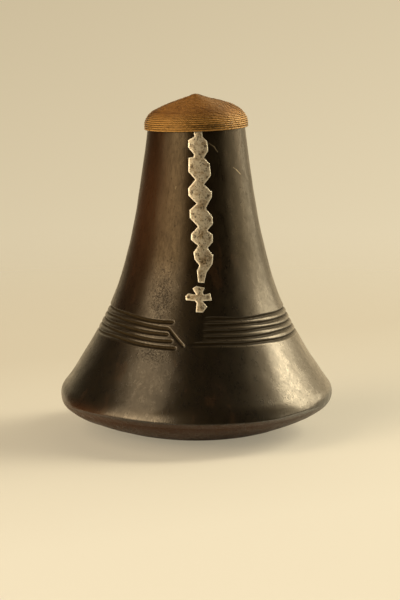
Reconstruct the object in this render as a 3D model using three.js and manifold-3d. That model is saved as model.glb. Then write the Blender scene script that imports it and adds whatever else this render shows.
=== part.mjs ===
// Butter container: a bell-shaped vessel hollowed from one block of dark wood, with a coiled basketry cap,
// a chain of six links and a cross cut from sheet metal and pinned into the front of the neck,
// and a band of carved grooves round the shoulder.
// Millimetres and degrees. +Z is up, the inlay faces -Y, and the origin is the centre of the base.
import * as THREE from 'three';
import { mergeVertices } from 'three/addons/utils/BufferGeometryUtils.js';
import Module from 'manifold-3d';

const wasm = await Module();
wasm.setup();

// Outside of the vessel
const mouthHeight = 274.8;
const mouthRadius = 41.2;
const mouthTaper = 7;
const rimRadius = 118.6;
const rimHeight = 35.4;
const rimRound = 13.2;
const rimUpperTurn = 35;
const rimLowerTurn = 39;
const baseRadius = 40;
// Pull of the curves at the two ends of the flare and of the underside
const flareLowPull = 82.4;
const flareHighPull = 133;
const undersideRimPull = 14.5;
const undersideBasePull = 21.5;

// Inside of the vessel
const neckWall = 8;
const bellyWall = 12;
const floorThickness = 14;
const lipRound = 2.5;
const hollowCornerPull = 4;
const hollowFloorPull = 40;

// Coiled cap
const capOverlap = 10.6;
const capWall = 1.8;
const capClearance = 0.7;
const capRise = 30.4;
const capSkirt = 4;
const capShoulderPull = 12;
const capConePull = 11.9;
const capConeStart = 19.5;
const capKnobRadius = 5;
const capKnobHeight = 1.4;
const capShift = -0.2;
const capTilt = 1.5;
const capEdgeHeight = mouthHeight - capOverlap;

// Carved band: grooves counted from the lowest, angles round from the front, positive to the right
const bandHeight = 90.7;
const groovePitch = 4.95;
const grooveDepth = 1.2;
const grooveWidth = 3.4;
const grooveFloor = 1.2;
const grooveFade = 7;
const grooveStarts = [0, 1.5, 2.5, 4, 7];
const grooveEnds = [-10.9, -13.4, -16.2, -16.4, -13.8];
// The band runs downhill over its last stretch before its left end
const bandDrop = 3.3;
const bandDropStart = -60;
const bandDropEnd = -18;
const slantGrooveEnd = -7.8;
const slantGrooveWidth = 4.4;

// Metal inlay
const sheetThickness = 1;
const sheetProud = 0.15;
const seatGap = 0.3;
const chainTuck = 3.2;
const chainToCross = 2.4;
const pinRadius = 0.85;
const pinDepth = 5.5;
const pinProud = 0.2;

// How far the cutting shapes stand out of the wood
const cutProud = 1;

// Links of the chain from the cap down, cut by hand: the corners of each side, then of the waist below it.
// Each corner is [across, below the cap's edge].
const chainLinks = [
  {
    left: [[-6.9, 6.1], [-7.0, 12.2], [-2.2, 17.8], [-2.2, 20.0]],
    right: [[9.0, 7.0], [10.0, 14.9], [6.3, 20.9]],
  },
  { left: [[-6.6, 20.8], [-7.0, 32.3], [-0.9, 39.1]], right: [[11.3, 25.9], [12.3, 35.8], [6.3, 43.3]] },
  { left: [[-7.0, 46.4], [-6.7, 52.5], [0.3, 59.1]], right: [[13.2, 49.7], [13.0, 53.7], [7.8, 63.2]] },
  { left: [[-5.9, 64.5], [-5.6, 71.1], [1.4, 78.3]], right: [[13.8, 70.5], [13.8, 76.3], [9.2, 81.5]] },
  { left: [[-4.5, 84.3], [-4.6, 89.2], [1.5, 94.1]], right: [[13.8, 85.1], [13.8, 91.4], [9.3, 96.1]] },
  { left: [[-2.5, 99.6], [-1.5, 105.4], [2.5, 110.3]], right: [[14.3, 102.5], [13.6, 109.3], [8.8, 115.8]] },
];
const stub = { left: [[-2.1, 0.7], [-1.5, 2.9]], right: [[4.9, 0.2], [5.2, 3.2]] };
const tail = { left: [[0.5, 114.7], [1.5, 124.2]], right: [[8.1, 118.1], [6.7, 124.6]] };

// Flared cross, as [across, below its top edge]
const crossOutline = [
  [-3.2, 2.2], [-0.2, 0], [7.1, 1.6], [5.4, 5.2], [6.1, 7.2], [11.7, 6.2],
  [13.1, 12.0], [4.9, 12.2], [9.2, 16.9], [5.4, 21.5], [-0.5, 21.2], [0.2, 13.9],
  [-1.2, 12.2], [-8.9, 11.6], [-9.3, 8.2], [-6.8, 6.1], [-0.2, 7.0],
];

// Pins, as [across, below the cap's edge] on the chain and [across, below the cross's top edge] on the cross
const chainPins = [
  { name: 'chain_pin_1_left', at: [-4.4, 10.6] }, { name: 'chain_pin_1_right', at: [7.3, 11.0] },
  { name: 'chain_pin_2_left', at: [-3.8, 28.2] }, { name: 'chain_pin_2_right', at: [9.6, 27.4] },
  { name: 'chain_pin_3_left', at: [-3.9, 50.1] }, { name: 'chain_pin_3_right', at: [9.9, 52.8] },
  { name: 'chain_pin_4_left', at: [-3.1, 67.7] }, { name: 'chain_pin_4_right', at: [11.0, 72.6] },
  { name: 'chain_pin_5_left', at: [-1.6, 86.5] }, { name: 'chain_pin_5_right', at: [11.1, 88.0] },
  { name: 'chain_pin_6_left', at: [1.2, 101.5] }, { name: 'chain_pin_6_right', at: [11.3, 105.6] },
  { name: 'chain_pin_tail', at: [4.0, 119.5] },
];
const crossPins = [
  { name: 'cross_pin_left', at: [-6.3, 8.9] }, { name: 'cross_pin_right', at: [9.6, 9.2] },
  { name: 'cross_pin_top', at: [2.2, 2.8] }, { name: 'cross_pin_bottom', at: [4.2, 17.6] },
];

// Fineness of the faceted surfaces
const vesselSides = 56;
const undersideSteps = 4;
const rimSteps = 5;
const flareSteps = 12;
const lipSteps = 3;
const hollowSteps = 6;
const floorSteps = 5;
const slantSteps = 4;
const pinSides = 8;
const capSides = 40;
const capEdgeSteps = 4;
const crownSteps = 8;
const knobSteps = 3;

// Corners closer than this are one corner
const cornerTolerance = 1e-4;

const wood = new THREE.MeshStandardMaterial({ color: 0x2a1d14, roughness: 0.38, metalness: 0 });
const basketry = new THREE.MeshStandardMaterial({ color: 0x9a6b34, roughness: 0.8, metalness: 0 });
const sheetMetal = new THREE.MeshStandardMaterial({ color: 0xb4ab98, roughness: 0.45, metalness: 1 });
const pinMetal = new THREE.MeshStandardMaterial({ color: 0x8d8474, roughness: 0.5, metalness: 1 });

const radians = THREE.MathUtils.degToRad;

// A solid from a geometry: its corners are shared, and triangles that shrank to a line at a pole are dropped.
function toSolid(geometry) {
  const bare = new THREE.BufferGeometry();
  bare.setAttribute('position', geometry.getAttribute('position').clone());
  if (geometry.index) bare.setIndex(geometry.index.clone());
  const shared = mergeVertices(bare, cornerTolerance);
  const corners = Array.from(shared.index.array);
  const triangles = [];
  for (let i = 0; i < corners.length; i += 3) {
    const [a, b, c] = corners.slice(i, i + 3);
    if (a !== b && b !== c && c !== a) triangles.push(a, b, c);
  }
  return new wasm.Manifold(new wasm.Mesh({
    numProp: 3,
    vertProperties: new Float32Array(shared.getAttribute('position').array),
    triVerts: new Uint32Array(triangles),
  }));
}

function toGeometry(solid) {
  const mesh = solid.getMesh();
  const geometry = new THREE.BufferGeometry();
  geometry.setAttribute('position', new THREE.BufferAttribute(new Float32Array(mesh.vertProperties), 3));
  geometry.setIndex(Array.from(mesh.triVerts));
  geometry.computeVertexNormals();
  return geometry;
}

// A profile of [radius, height] points, with the material on its left, turned round the vertical axis
function turned(profile, sides) {
  const geometry = new THREE.LatheGeometry(profile, sides);
  geometry.rotateX(Math.PI / 2);
  return geometry;
}

// Points moved sideways off a profile, to its left, by a distance that may change along it.
function offsetProfile(points, distance) {
  return points.map((point, i) => {
    const before = points[Math.max(i - 1, 0)];
    const after = points[Math.min(i + 1, points.length - 1)];
    const along = after.clone().sub(before).normalize();
    const step = distance(i / (points.length - 1));
    return new THREE.Vector2(point.x - along.y * step, point.y + along.x * step);
  });
}

function arcPoints(centre, radius, fromTurn, toTurn, steps) {
  const from = radians(fromTurn);
  const to = radians(toTurn);
  return new THREE.EllipseCurve(centre.x, centre.y, radius, radius, from, to, to < from).getPoints(steps);
}

// Outer profile from the base to just under the lip
const rimCentre = new THREE.Vector2(rimRadius - rimRound, rimHeight);
const rimPoints = arcPoints(rimCentre, rimRound, -rimLowerTurn, rimUpperTurn, rimSteps);
const rimLow = rimPoints[0];
const rimHigh = rimPoints[rimPoints.length - 1];

const undersideCurve = new THREE.CubicBezierCurve(
  new THREE.Vector2(baseRadius, 0),
  new THREE.Vector2(baseRadius + undersideBasePull, 0),
  new THREE.Vector2(
    rimLow.x - undersideRimPull * Math.sin(radians(rimLowerTurn)),
    rimLow.y - undersideRimPull * Math.cos(radians(rimLowerTurn)),
  ),
  rimLow,
);

const flareTop = new THREE.Vector2(mouthRadius, mouthHeight - lipRound);
const flareCurve = new THREE.CubicBezierCurve(
  rimHigh,
  new THREE.Vector2(
    rimHigh.x - flareLowPull * Math.sin(radians(rimUpperTurn)),
    rimHigh.y + flareLowPull * Math.cos(radians(rimUpperTurn)),
  ),
  new THREE.Vector2(
    flareTop.x + flareHighPull * Math.sin(radians(mouthTaper)),
    flareTop.y - flareHighPull * Math.cos(radians(mouthTaper)),
  ),
  flareTop,
);
const flarePoints = flareCurve.getSpacedPoints(flareSteps);

// Where a height meets the flare: radius there, and the outward normal as [across, up]
function flareAt(height) {
  let upper = flarePoints.findIndex((point) => point.y >= height);
  if (upper < 1) upper = upper < 0 ? flarePoints.length - 1 : 1;
  const low = flarePoints[upper - 1];
  const high = flarePoints[upper];
  const share = (height - low.y) / (high.y - low.y);
  const along = high.clone().sub(low).normalize();
  return { radius: low.x + share * (high.x - low.x), normal: new THREE.Vector2(along.y, -along.x) };
}

// A place on the front of the neck, by how far across and how high it is
function onNeck(across, height) {
  const { radius, normal } = flareAt(height);
  const back = Math.sqrt(radius * radius - across * across);
  return {
    point: new THREE.Vector3(across, -back, height),
    outward: new THREE.Vector3((across / radius) * normal.x, (-back / radius) * normal.x, normal.y),
  };
}

// Lip and hollow of the vessel, from the top of the flare over the lip and down to the floor
function hollowProfile() {
  const boreRadius = mouthRadius - neckWall;
  const lipHeight = mouthHeight - lipRound;
  const outerCentre = new THREE.Vector2(mouthRadius - lipRound, lipHeight);
  const innerCentre = new THREE.Vector2(boreRadius + lipRound, lipHeight);
  const outerLip = arcPoints(outerCentre, lipRound, 0, 90, lipSteps).slice(1);
  const innerLip = arcPoints(innerCentre, lipRound, 90, 180, lipSteps);
  const wallAt = (share) => bellyWall + (neckWall - bellyWall) * share;
  const inner = offsetProfile(flareCurve.getSpacedPoints(hollowSteps), wallAt);
  const wall = inner.slice(0, -1).reverse();
  const corner = inner[0];
  const down = new THREE.Vector2(Math.sin(radians(rimUpperTurn)), -Math.cos(radians(rimUpperTurn)));
  const floorCurve = new THREE.CubicBezierCurve(
    corner,
    corner.clone().addScaledVector(down, hollowCornerPull),
    new THREE.Vector2(baseRadius + hollowFloorPull, floorThickness),
    new THREE.Vector2(baseRadius, floorThickness),
  );
  const floor = [...floorCurve.getPoints(floorSteps).slice(1), new THREE.Vector2(0, floorThickness)];
  return [...outerLip, ...innerLip, ...wall, ...floor];
}

// Height of a groove of the band at an angle round from the front, counted up from its right end
function grooveHeight(index, turn) {
  const level = bandHeight + index * groovePitch;
  return level - bandDrop * THREE.MathUtils.smoothstep(turn, bandDropStart + 360, bandDropEnd + 360);
}

// Depth of a groove at that angle: nothing outside its two ends, where it dies away over a short stretch
function grooveDepthAt(index, turn) {
  const { radius } = flareAt(bandHeight + index * groovePitch);
  const fromEnd = radians(Math.min(turn - grooveStarts[index], grooveEnds[index] + 360 - turn)) * radius;
  return grooveDepth * THREE.MathUtils.clamp(fromEnd / grooveFade, 0, 1);
}

// Corners of a groove's section, from its lower edge to its upper one
function grooveProfile(index, turn) {
  const height = grooveHeight(index, turn);
  const { normal } = flareAt(height);
  const along = new THREE.Vector2(-normal.y, normal.x);
  const corner = (reach, depth) => {
    const edge = height + reach * along.y;
    return new THREE.Vector2(flareAt(edge).radius, edge).addScaledVector(normal, -depth);
  };
  const depth = grooveDepthAt(index, turn);
  return [
    corner(-grooveWidth / 2, 0),
    corner(-grooveFloor / 2, depth),
    corner(grooveFloor / 2, depth),
    corner(grooveWidth / 2, 0),
  ];
}

// Profile of the vessel at an angle round from the front, from the middle of the base to that of the floor
function vesselProfile(turn) {
  const band = grooveStarts.flatMap((start, index) => grooveProfile(index, turn));
  const bandLow = bandHeight - bandDrop - grooveWidth;
  const bandHigh = bandHeight + grooveStarts.length * groovePitch;
  return [
    new THREE.Vector2(0, 0),
    ...undersideCurve.getPoints(undersideSteps),
    ...rimPoints.slice(1),
    ...flarePoints.slice(1).filter((point) => point.y < bandLow),
    ...band,
    ...flarePoints.filter((point) => point.y > bandHigh),
    ...hollowProfile(),
  ];
}

// Even angles round the vessel, with more of them where the grooves end
function vesselTurns() {
  const facet = 360 / vesselSides;
  const turns = Array.from({ length: vesselSides }, (none, i) => i * facet);
  const ends = [...grooveStarts, ...grooveEnds.map((end) => end + 360)];
  return [...new Set([...turns, ...ends])].sort((a, b) => a - b);
}

// The skin over profiles that stand round the axis at their own angles, closed on itself
function skinOver(turns, profileAt) {
  const rings = turns.map((turn) => profileAt(turn).map((point) => [
    point.x * Math.sin(radians(turn)),
    -point.x * Math.cos(radians(turn)),
    point.y,
  ]));
  const size = rings[0].length;
  const triangles = [];
  rings.forEach((ring, i) => {
    const here = i * size;
    const next = ((i + 1) % rings.length) * size;
    for (let k = 0; k < size - 1; k += 1) {
      triangles.push(here + k, next + k, next + k + 1, here + k, next + k + 1, here + k + 1);
    }
  });
  const geometry = new THREE.BufferGeometry();
  geometry.setAttribute('position', new THREE.Float32BufferAttribute(rings.flat(2), 3));
  geometry.setIndex(triangles);
  return geometry;
}

// A cut that goes round the vessel through sections, each a loop of four points at its own angle
function ringCut(sections) {
  const corners = sections.flatMap(({ turn, points }) => points.map((point) => [
    point.x * Math.sin(radians(turn)),
    -point.x * Math.cos(radians(turn)),
    point.y,
  ]));
  const last = (sections.length - 1) * 4;
  const triangles = [[0, 1, 2], [0, 2, 3], [last, last + 2, last + 1], [last, last + 3, last + 2]];
  for (let first = 0; first < last; first += 4) {
    for (let side = 0; side < 4; side += 1) {
      const here = first + side;
      const next = first + ((side + 1) % 4);
      triangles.push([here, here + 4, next], [next, here + 4, next + 4]);
    }
  }
  const geometry = new THREE.BufferGeometry();
  geometry.setAttribute('position', new THREE.Float32BufferAttribute(corners.flat(), 3));
  geometry.setIndex(triangles.flat());
  return toSolid(geometry);
}

// Section of the slanting groove: narrow at its floor and opening out through the surface
function slantSection(turn, height, depth) {
  const { radius, normal } = flareAt(height);
  const along = new THREE.Vector2(-normal.y, normal.x);
  const spread = grooveFloor + ((slantGrooveWidth - grooveFloor) * (depth + cutProud)) / grooveDepth;
  const corner = (reach, lift) => {
    const surface = new THREE.Vector2(radius, height);
    return surface.addScaledVector(normal, lift).addScaledVector(along, reach);
  };
  return {
    turn,
    points: [
      corner(-grooveFloor / 2, -depth),
      corner(-spread / 2, cutProud),
      corner(spread / 2, cutProud),
      corner(grooveFloor / 2, -depth),
    ],
  };
}

// The slanting groove that closes the band on the left, from the end of the fourth groove down to the lowest
function slantGroove() {
  const fourth = grooveStarts.length - 2;
  const from = { turn: grooveEnds[fourth], height: grooveHeight(fourth, grooveEnds[fourth] + 360) };
  const to = { turn: slantGrooveEnd, height: grooveHeight(0, slantGrooveEnd + 360) + grooveFloor };
  const sections = [];
  for (let i = 0; i <= slantSteps; i += 1) {
    const share = i / slantSteps;
    const turn = THREE.MathUtils.lerp(from.turn, to.turn, share);
    const height = THREE.MathUtils.lerp(from.height, to.height, share);
    sections.push(slantSection(turn, height, i === slantSteps ? 0 : grooveDepth));
  }
  return ringCut(sections);
}

// Outline of the chain as [across, below the cap's edge], down its left side and up its right side
function chainOutline() {
  const side = (name) => [
    [stub[name][0][0], -chainTuck],
    ...stub[name],
    ...chainLinks.flatMap((link) => link[name]),
    ...tail[name],
  ];
  return [...side('left'), ...side('right').reverse()];
}

const chainEdge = chainOutline();
const chainBottom = Math.max(...chainEdge.map(([, below]) => below));
const crossTop = chainBottom + chainToCross;

// Both outlines as [across, height]
const chainSheetEdge = chainEdge.map(([across, below]) => [across, capEdgeHeight - below]);
const crossSheetEdge = crossOutline.map(([across, below]) => [across, capEdgeHeight - crossTop - below]);
crossSheetEdge.reverse();

// An outline that runs anticlockwise, with every side moved outwards by a clearance
function grownOutline(outline, clearance) {
  const corners = outline.map(([x, y]) => new THREE.Vector2(x, y));
  return corners.map((corner, i) => {
    const into = corner.clone().sub(corners[(i + corners.length - 1) % corners.length]).normalize();
    const out = corners[(i + 1) % corners.length].clone().sub(corner).normalize();
    const miter = new THREE.Vector2(into.y + out.y, -into.x - out.x);
    const reach = clearance / (1 + into.dot(out));
    return [corner.x + miter.x * reach, corner.y + miter.y * reach];
  });
}

// The part of a prism, pushed through the front of the neck, that lies between two depths off the flare
function neckSlice(outline, innerOffset, outerOffset) {
  const shape = new THREE.Shape(outline.map(([x, y]) => new THREE.Vector2(x, y)));
  const prism = new THREE.ExtrudeGeometry(shape, { depth: rimRadius, bevelEnabled: false });
  prism.rotateX(Math.PI / 2);
  const outer = offsetProfile(flarePoints, () => -outerOffset);
  const inner = offsetProfile(flarePoints, () => -innerOffset).reverse();
  const shell = turned([...outer, ...inner, outer[0]], vesselSides);
  return toSolid(prism).intersect(toSolid(shell));
}

function sheetSolid(outline) {
  return neckSlice(outline, sheetProud - sheetThickness, sheetProud);
}

function sheetSeat(outline) {
  return neckSlice(grownOutline(outline, seatGap), sheetProud - sheetThickness - seatGap, cutProud);
}

// A round rod square to the neck at a place on it, from one depth to another
function neckRod([across, height], radius, inner, outer) {
  const { point, outward } = onNeck(across, height);
  const rod = new THREE.CylinderGeometry(radius, radius, outer - inner, pinSides);
  const turn = new THREE.Quaternion().setFromUnitVectors(new THREE.Vector3(0, 1, 0), outward);
  rod.applyQuaternion(turn);
  const middle = point.clone().addScaledVector(outward, (inner + outer) / 2);
  rod.translate(middle.x, middle.y, middle.z);
  return rod;
}

function capGeometry() {
  const radius = flareAt(capEdgeHeight).radius + capClearance + capWall;
  const crown = new THREE.CubicBezierCurve(
    new THREE.Vector2(radius, capSkirt),
    new THREE.Vector2(radius, capSkirt + capShoulderPull),
    new THREE.Vector2(radius - capConePull, capConeStart),
    new THREE.Vector2(capKnobRadius, capRise - capKnobHeight),
  ).getPoints(crownSteps);
  const knob = new THREE.QuadraticBezierCurve(
    crown[crown.length - 1],
    new THREE.Vector2(capKnobRadius / 2, capRise),
    new THREE.Vector2(0, capRise),
  ).getPoints(knobSteps).slice(1);
  const edgeCentre = new THREE.Vector2(radius - capWall / 2, capWall / 2);
  const edge = arcPoints(edgeCentre, capWall / 2, -180, 0, capEdgeSteps);
  const outside = [...crown, ...knob];
  const inside = offsetProfile(outside, () => capWall).reverse();
  inside[0].set(0, capRise - capWall);
  return turned([...inside, ...edge, ...outside], capSides);
}

function named(name, geometry, material) {
  const mesh = new THREE.Mesh(geometry, material);
  mesh.name = name;
  return mesh;
}

const container = new THREE.Group();

// Vessel, sheets and pins share the same pin places
const pins = [
  ...chainPins.map(({ name, at: [across, below] }) => (
    { name, place: [across, capEdgeHeight - below], sheet: 'chain' }
  )),
  ...crossPins.map(({ name, at: [across, below] }) => (
    { name, place: [across, capEdgeHeight - crossTop - below], sheet: 'cross' }
  )),
];
const pinHole = ({ place }) => toSolid(neckRod(place, pinRadius + seatGap, -pinDepth - seatGap, cutProud));

let vessel = toSolid(skinOver(vesselTurns(), vesselProfile));
vessel = vessel.subtract(slantGroove());
vessel = vessel.subtract(sheetSeat(chainSheetEdge));
vessel = vessel.subtract(sheetSeat(crossSheetEdge));
pins.forEach((pin) => {
  vessel = vessel.subtract(pinHole(pin));
});
container.add(named('vessel_body', toGeometry(vessel), wood));

const sheets = { chain: sheetSolid(chainSheetEdge), cross: sheetSolid(crossSheetEdge) };
pins.forEach((pin) => {
  sheets[pin.sheet] = sheets[pin.sheet].subtract(pinHole(pin));
});
container.add(named('inlay_chain', toGeometry(sheets.chain), sheetMetal));
container.add(named('inlay_cross', toGeometry(sheets.cross), sheetMetal));

pins.forEach(({ name, place }) => {
  container.add(named(name, neckRod(place, pinRadius, -pinDepth, sheetProud + pinProud), pinMetal));
});

const cap = new THREE.Group();
cap.position.set(capShift, 0, capEdgeHeight);
cap.rotation.y = radians(-capTilt);
cap.add(named('basket_lid', capGeometry(), basketry));
container.add(cap);

export default container;
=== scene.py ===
"""Looks of a butter container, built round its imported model.

A bell-shaped vessel carved from one block of blackened wood, with a lid of coiled straw, and a chain of
links and a cross of pale metal let into the front of the neck and pinned there.
Sizes are in millimetres until a mesh is made, and angles in degrees. +Z is up, the inlay faces -Y, and
turns round the axis are counted from the front, positive to the right.
"""
import math

import bmesh
import bpy
import numpy as np
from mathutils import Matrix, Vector, noise
from mathutils.geometry import delaunay_2d_cdt


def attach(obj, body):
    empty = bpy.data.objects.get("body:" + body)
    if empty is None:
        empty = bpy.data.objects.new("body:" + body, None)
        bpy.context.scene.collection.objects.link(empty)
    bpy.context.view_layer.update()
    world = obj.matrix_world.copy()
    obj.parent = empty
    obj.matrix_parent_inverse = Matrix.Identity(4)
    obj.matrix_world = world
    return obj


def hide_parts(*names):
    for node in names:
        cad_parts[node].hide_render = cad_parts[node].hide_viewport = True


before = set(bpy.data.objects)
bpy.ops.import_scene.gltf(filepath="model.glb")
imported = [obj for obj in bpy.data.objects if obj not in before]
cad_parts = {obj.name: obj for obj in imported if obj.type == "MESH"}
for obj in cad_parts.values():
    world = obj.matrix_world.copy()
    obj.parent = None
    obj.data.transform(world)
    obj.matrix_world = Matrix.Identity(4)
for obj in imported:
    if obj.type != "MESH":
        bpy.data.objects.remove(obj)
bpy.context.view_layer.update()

MM = 0.001

# Outside of the vessel
MOUTH_HEIGHT = 274.8
MOUTH_RADIUS = 41.2
MOUTH_TAPER = 7
RIM_RADIUS = 118.6
RIM_HEIGHT = 35.4
RIM_ROUND = 13.2
RIM_UPPER_TURN = 35
RIM_LOWER_TURN = 39
BASE_RADIUS = 40
# Pull of the curves at the two ends of the flare and of the underside
FLARE_LOW_PULL = 82.4
FLARE_HIGH_PULL = 133
UNDERSIDE_RIM_PULL = 14.5
UNDERSIDE_BASE_PULL = 21.5

# Round the front the rim is flatter and ends below in a crisp edge. Its face leans in above the edge, as far
# as its pull reaches, and its foot lies on the underside
EDGE_HEIGHT = 29.5
EDGE_RADIUS = 122.3
EDGE_LEAN = 19
EDGE_PULL = 6
EDGE_ROUND = 1.3
EDGE_FOOT_HEIGHT = 23.9
# Turns between which the edge comes in, first on the left and then on the right
EDGE_FADES = [(-85, -50), (78, 42)]
# To the sides the edge climbs: how far, and between which turns
EDGE_CLIMBS = [(4.4, 22, 60), (2.8, 2, -42)]
# How far up and down its climb pulls the rim
EDGE_CLIMB_REACH = 7.5

# Inside of the vessel
NECK_WALL = 8
BELLY_WALL = 12
FLOOR_THICKNESS = 14
LIP_ROUND = 2.5
HOLLOW_CORNER_PULL = 4
HOLLOW_FLOOR_PULL = 40

# How finely the vessel is drawn: points on its curves, rows of corners on each part of it, and columns, as
# the turns that they lie between and their spacing, which is closest where the grooves end
RIM_POINTS = 60
UNDERSIDE_POINTS = 200
EDGE_FACE_POINTS = 40
EDGE_POINTS = 9
FLARE_POINTS = 1200
LIP_POINTS = 6
HOLLOW_CORNER_POINTS = 22
FLARE_SPACING = 0.4
LOW_ROWS = 0.75
FLARE_ROWS = 1.6
BAND_ROWS = 0.45
NECK_ROWS = 1.7
HOLLOW_ROWS = 5
BASE_RINGS = [0, 12, 24, 34]
FLOOR_RINGS = [28, 14, 0]
COLUMNS = [(-180, -24, 2.0), (-24, -5, 0.5), (-5, 12, 1.1), (12, 180, 2.0)]

# Unevenness left by the carver's blade: how high and how long its swells are, and below which height it fades
# into the flat base
WAVE_HEIGHT = 0.35
WAVE_LENGTH = 38
WAVE_FADE_HEIGHT = 10
# Each finer wave: how much weaker it is, as a power, how much shorter, and how many there are
WAVE_FRACTAL = (0.9, 2.0, 3)
# Places where more or less wood was left: turn, height, how far they reach round in degrees and up and down,
# and how far they stand off
SWELLS = [(-88, 20, 50, 9, 2.4), (-85, 52, 40, 12, -0.9)]
# Places with close small pits: turn, height, how far they reach round in degrees and up and down, and
# how strongly they show
DIMPLES = [(-25, 128, 9, 20, 1.0), (-24, 82, 9, 8, 1.0), (42, 44, 16, 12, 0.35), (20, 140, 12, 30, 0.3)]

# Places worn reddish by use, and the underside, which is painted warm brown as lit from below. On the rim's
# left: the turns and radii between which the wear comes in, its height and how far up and down it reaches,
# and how strong it is
WORN_TURNS = [(-22, -52), (-150, -110)]
WORN_RIM_RADII = (95, 105)
WORN_RIM_HEIGHT = RIM_HEIGHT - 5
WORN_RIM_REACH = 6
WORN_RIM = 0.6
# The underside, from just below the edge down, where light bounced up from the floor is painted as warm
# brown, and the lip of the mouth
UNDERSIDE_PAINTED_LIGHT_FADE = 2
UNDERSIDE_PAINTED_LIGHT = 0.65
WORN_LIP_REACH = 5
# The neck: turn, height, how far it reaches round in degrees and up and down, and how strong it is
WORN_NECK = (-55, 205, 35, 70, 0.5)

# Pale scratches: where each starts and ends, as turn and height, and how strongly it shows
SCRATCHES = [
    ((14, 255.5), (20, 252.5), 0.16), ((20, 252.5), (24, 248), 0.22),
    ((43, 234), (47, 232), 0.4), ((47, 232), (53, 228), 0.7),
    ((-21, 219), (-21.3, 217), 0.4),
]
SCRATCH_WIDTH = 1.1

# Carved band: grooves counted from the lowest
BAND_HEIGHT = 90.7
GROOVE_PITCH = 4.95
GROOVE_DEPTH = 1.4
GROOVE_WIDTH = 4.3
# Where across a groove its floor lies, from its lower edge at -1 to its upper edge at 1
GROOVE_FLOOR_PLACE = 0.25
GROOVE_STARTS = [-4, 1.5, 1.5, 2, 3]
GROOVE_ENDS = [-10.9, -13.4, -16.2, -16.4, -13.8]
GROOVE_START_FADE = 9
GROOVE_END_FADE = 2.2
# How each groove wanders up and down: waves round the vessel, step from groove to groove, and height
GROOVE_WANDERS = [(5, 1.9, 0.22), (11, 2.7, 0.132)]
# The band runs downhill over its last stretch before its left end
BAND_DROP = 3.3
BAND_DROP_TURNS = (300, 342)
# On the right it lies lower: how far, and at which turns it is all the way down, starts back up, and is back
BAND_SAG = 1.4
BAND_SAG_TURNS = (35, 120, 180)
# Width of the ridge below each groove, painted pale as a highlight and as rubbed wear, and how flat its crest
# is
RIDGE_WIDTH = 1.25
RIDGE_CREST = 1.2
# How much of that pale shows on the left, and how much near the grooves' starts, with the turns between which
# those come in, first from the left and then from the right
RIDGE_ON_LEFT = 0.35
RIDGE_AT_START = 0.45
RIDGE_START_TURNS = [(-8, 0), (34, 4)]
# The left half of the band is dusty: the turns between which dust comes in, those between which it grows from
# the side to the front, and how much of it lies on the side
DUST_TURNS = (0, -8)
DUST_THINS = (-75, -50)
DUST_LEFT = 0.4
# The slanting groove: from which groove it starts, where it lies, and how wide it is
SLANT_GROOVE = 3
SLANT_START_TURN = -16.8
SLANT_END_TURN = -6.4
SLANT_END_HEIGHT = 87.9
SLANT_WIDTH = 2.9

# Metal inlay
SHEET_THICKNESS = 1
SHEET_PROUD = 0.15
SEAT_GAP = 0.3
CHAIN_TUCK = 3.2
CHAIN_TO_CROSS = 2.4
PIN_RADIUS = 0.85
PIN_DEPTH = 5.5
PIN_PROUD = 0.1
PIN_HEAD_RADIUS = 0.72
PIN_GAP = 0.25
# Rounding of the sheets' rims, as steps in from the outline and down from the top
SHEET_RIM = [(0, 0.4), (0.12, 0.16), (0.3, 0.05), (0.55, 0)]
# Dents beaten into the sheets: how long, how high, and from which slice of the noise
DENTS = [(3.2, 0.07, 4.0), (8, 0.1, 9.0)]
# How far in from the rim the dents are whole, how high the sheets are crowned, and how far in that takes
DENT_FADE = 1.2
CROWN = 0.12
CROWN_REACH = 2.5
# How far in from their edge the sheets are painted bright, as a highlight on their edge and as rubbed metal
RIM_SHINE = 0.6
# Dark places on the sheets: across, below the lid's edge, reach and strength
SHEET_STAINS = [
    (6.5, 106, 4.5, 1.0), (3.2, 120, 4, 0.6), (4, 85, 4, 0.5),
    (6, 60, 5, 0.35), (2, 135, 3.5, 0.5),
]
# How finely the sheets are drawn: spacing along their outline and inside it, how far apart its rows are and
# how far it keeps from the edge and from holes, as shares of it, and the sides of holes and of pins
OUTLINE_SPACING = 0.9
FILL_SPACING = 1.1
FILL_ROW = 0.87
FILL_FROM_EDGE = 0.5
FILL_FROM_HOLE = 0.4
HOLE_SIDES = 12
PIN_SIDES = 16
# Triangulation: only inside the outline, the distance under which points are one, and the share of a hole's
# radius inside which a triangle's middle lies in the hole
INSIDE_ONLY = 1
SAME_POINT = 1e-6
HOLE_INSIDE = 0.99
# How far the shapes that cut the seats and the pins' holes stand off the wood
CUT_PROUD = 1

# Edges that turn more than this stay sharp
VESSEL_SHARPEST = 45
SHEET_SHARPEST = 50
PIN_SHARPEST = 40
LID_SHARPEST = 60

# Lid
LID_OVERLAP = 10.6
LID_WALL = 1.8
LID_CLEARANCE = 0.7
LID_RISE = 30.4
LID_SKIRT = 4
LID_SHOULDER_PULL = 12
LID_CONE_PULL = 11.9
LID_CONE_START = 19.5
LID_KNOB_RADIUS = 5
LID_KNOB_HEIGHT = 1.4
LID_SHIFT = -0.2
LID_TILT = 1.5
LID_EDGE_HEIGHT = MOUTH_HEIGHT - LID_OVERLAP
LID_CROWN_POINTS = 120
LID_KNOB_POINTS = 20
LID_PROFILE_SPACING = 0.3
# Unevenness of the coil: how long and how high
LID_WAVES = [(9, 0.3), (2.5, 0.07)]
# Places where the lid bulges: middle, reach and height
LID_SWELLS = [((30, 0, 20), 14, 1.5)]
# Places on the straw painted darker as shade and paler as a highlight: middle, reach and how bright it is
# there against the rest
LID_PAINTED_SHADE_AND_HIGHLIGHT = [((5, -47, 269), 30, 0.56), ((37, -20, 281), 19, 1.75)]
COIL_START_TURN = 180
COIL_PITCH = 1.8
COIL_RADIUS = 0.95
# The bare coil is a little thinner than the stitches leave room for
CORE_RADIUS = 0.86
CORE_SIDES = 8
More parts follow.
